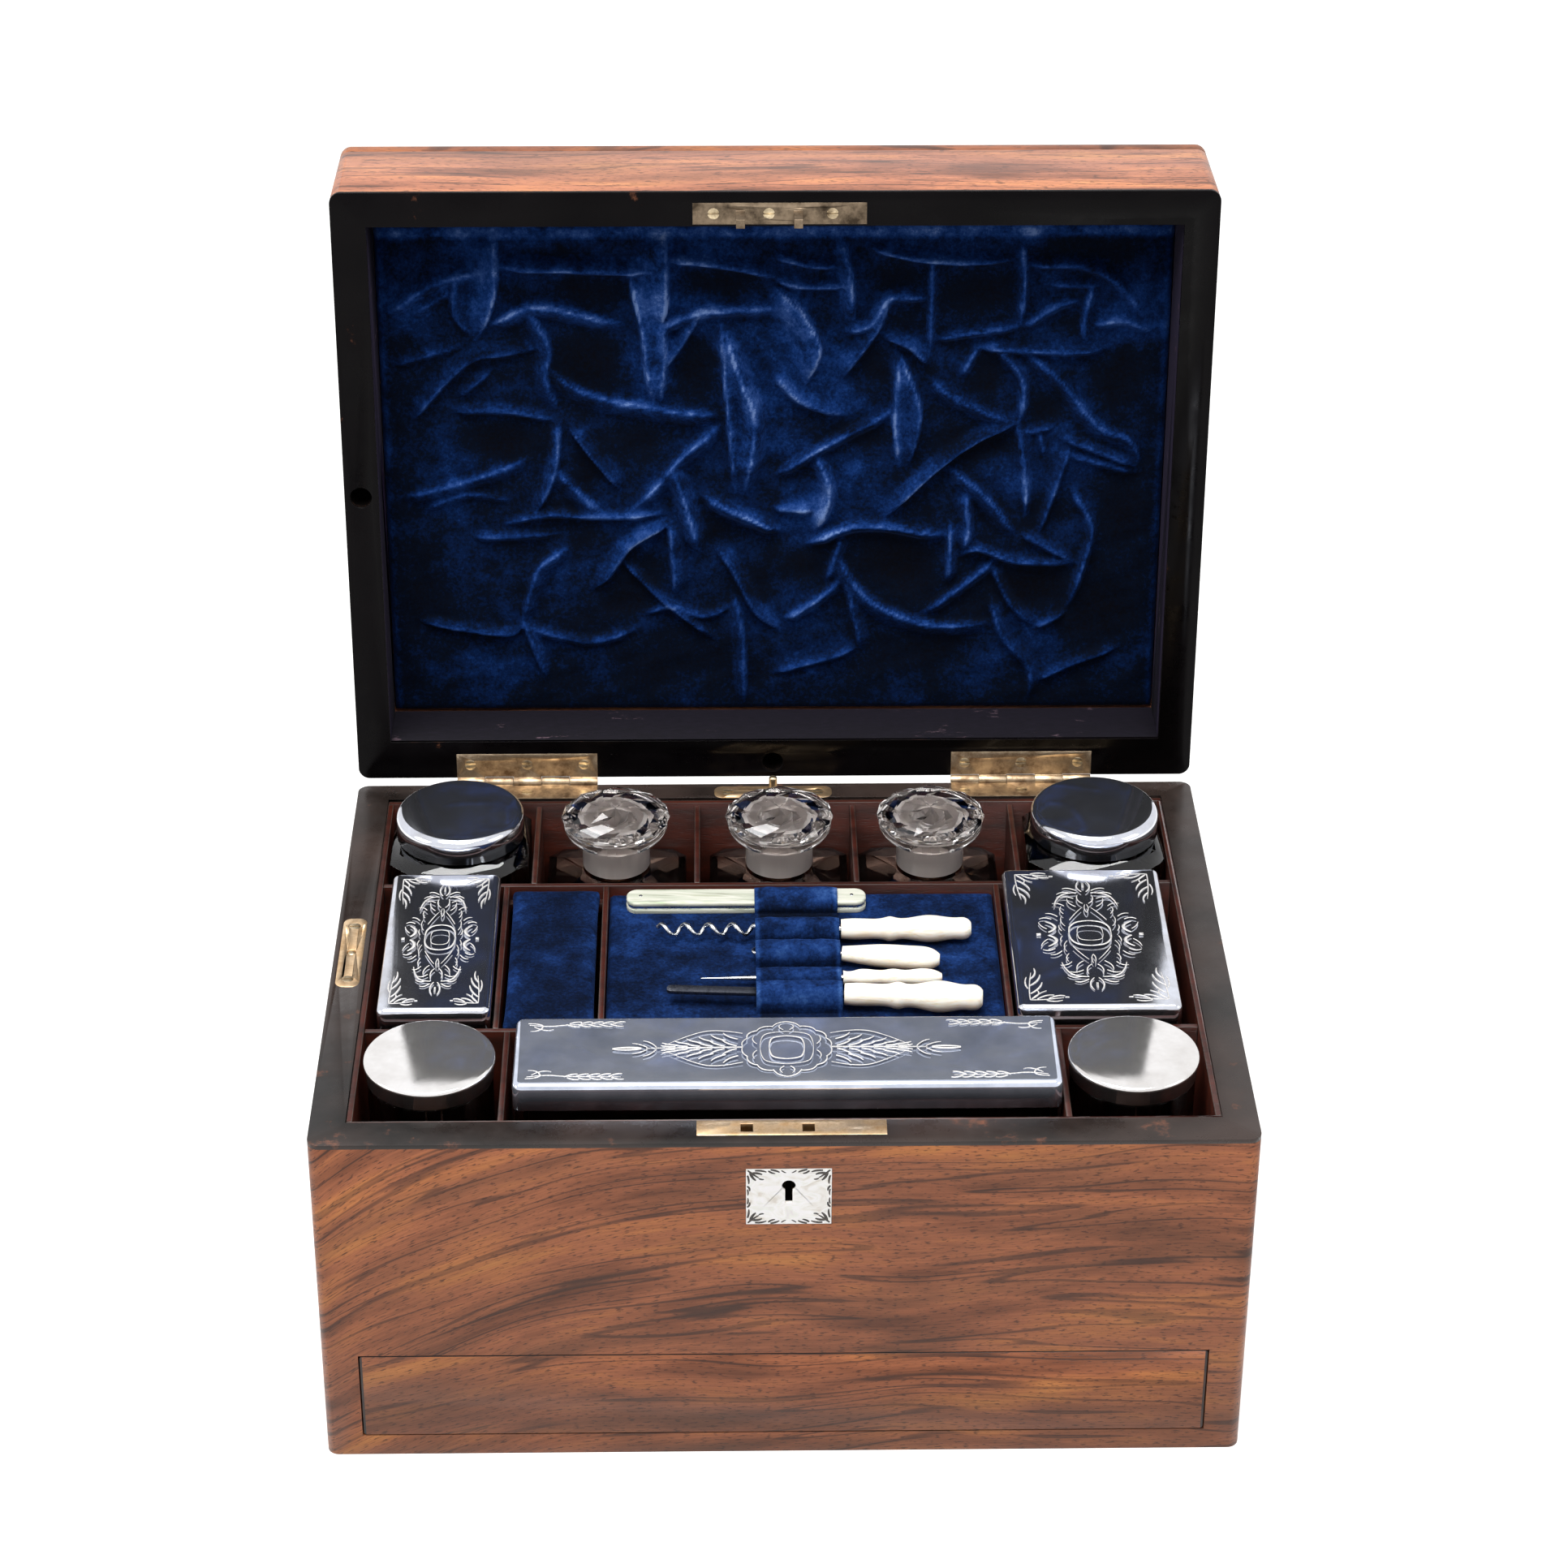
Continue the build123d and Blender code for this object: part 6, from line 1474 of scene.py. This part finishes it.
# a steel pin is riveted through the scales near each end of the knife
PIN_R = 0.65 * MM
PIN_LENGTH = 0.6 * MM
PIN_PROUD = 0.12 * MM
PIN_IN = 5 * MM
knife_low, knife_high = map(Vector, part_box("penknife_scales"))
for number, x in enumerate((knife_low.x + PIN_IN, knife_high.x - PIN_IN)):
    rivet = add_piece(
        f"penknife_rivet_{number + 1}",
        bpy.ops.mesh.primitive_cylinder_add,
        vertices=20,
        radius=PIN_R,
        depth=PIN_LENGTH,
        location=(x, (knife_low.y + knife_high.y) / 2, knife_high.z + PIN_PROUD - PIN_LENGTH / 2),
    )
    crown = rivet.modifiers.new("crown", "BEVEL")
    crown.width = 0.1 * MM
    crown.segments = 2
    rivet.data.shade_smooth()
    rivet.data.materials.append(bright_steel)
    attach(rivet, "penknife")


# ---- Floor, backdrop and lamps ----
# A white table under soft studio light: one broad lamp above and in front, a weaker one each side.
# The camera, metal and glass see it as white, and it still takes the box's shadow.
FLOOR_SIZE = 12.0
TABLE_GLOW = 0.62
ROOM_LIGHT = 0.34


def seen_directly(tree):
    """1 where the camera looks, straight or through metal and glass, and 0 for falling light."""
    rays = node(tree, "LightPath", {}).outputs
    seen = maths(tree, "MAXIMUM", rays["Is Camera Ray"], rays["Is Glossy Ray"])
    return maths(tree, "MAXIMUM", seen, rays["Is Transmission Ray"])


floor = add_piece("table_top", bpy.ops.mesh.primitive_plane_add, size=FLOOR_SIZE)
white_table, tree, shader = new_finish("white_laminate")
plug(tree, shader, {
    "Base Color": ramp(tree, noise(tree, 900), ((0.3, "#bab9b7"), (0.7, "#c2c1bf"))),
    "Roughness": 0.6,
    "Emission Strength": maths(tree, "MULTIPLY", seen_directly(tree), TABLE_GLOW),
    "Emission Color": "#ffffff",
})
floor.data.materials.append(white_table)

room = bpy.data.worlds.new("white_room")
bpy.context.scene.world = room
room.use_nodes = True
tree = room.node_tree
level = node(tree, "MapRange", {0: seen_directly(tree), 3: ROOM_LIGHT, 4: 1.0})
plug(tree, tree.nodes["Background"], {0: "#fdfdff", 1: level})


def soft_lamp(name, place, aim, size, power):
    """A square soft lamp that faces a point."""
    data = bpy.data.lights.new(name, "AREA")
    data.shape = "SQUARE"
    data.size = size
    data.energy = power
    lamp = show(name, data)
    lamp.location = place
    lamp.rotation_euler = (Vector(aim) - Vector(place)).to_track_quat("-Z", "Y").to_euler()


BOX_MIDDLE = (0, 0, 0.12)
soft_lamp("lamp_above", (-0.15, -0.42, 1.9), BOX_MIDDLE, 1.3, 62)
soft_lamp("lamp_left", (-1.6, -0.5, 0.8), BOX_MIDDLE, 0.8, 6)
soft_lamp("lamp_right", (1.6, -0.6, 0.9), BOX_MIDDLE, 0.8, 5)


# ---- Camera ----
# At the photograph's place: in front, a little left of the middle and looking down about 30
# degrees, through a long lens.
CAMERA_PLACE = Vector((-0.02038, -1.14242, 0.86737))
YAW = math.radians(1.083)
PITCH = math.radians(30.557)
ROLL = math.radians(0.244)
FOCAL_PIXELS = 4888.3
PICTURE_PIXELS = 1932
SENSOR = 36.0

sight = Vector((math.sin(YAW) * math.cos(PITCH), math.cos(YAW) * math.cos(PITCH), -math.sin(PITCH)))
level_right = Vector((math.cos(YAW), -math.sin(YAW), 0))
level_up = level_right.cross(sight)
right = math.cos(ROLL) * level_right + math.sin(ROLL) * level_up
up = -math.sin(ROLL) * level_right + math.cos(ROLL) * level_up
lens = bpy.data.cameras.new("camera")
lens.sensor_width = SENSOR
lens.lens = SENSOR * FOCAL_PIXELS / PICTURE_PIXELS
camera = show("camera", lens)
turn = Matrix((right, up, -sight)).transposed()
camera.matrix_world = Matrix.Translation(CAMERA_PLACE) @ turn.to_4x4()
bpy.context.scene.camera = camera
bpy.context.scene.view_settings.view_transform = "Standard"
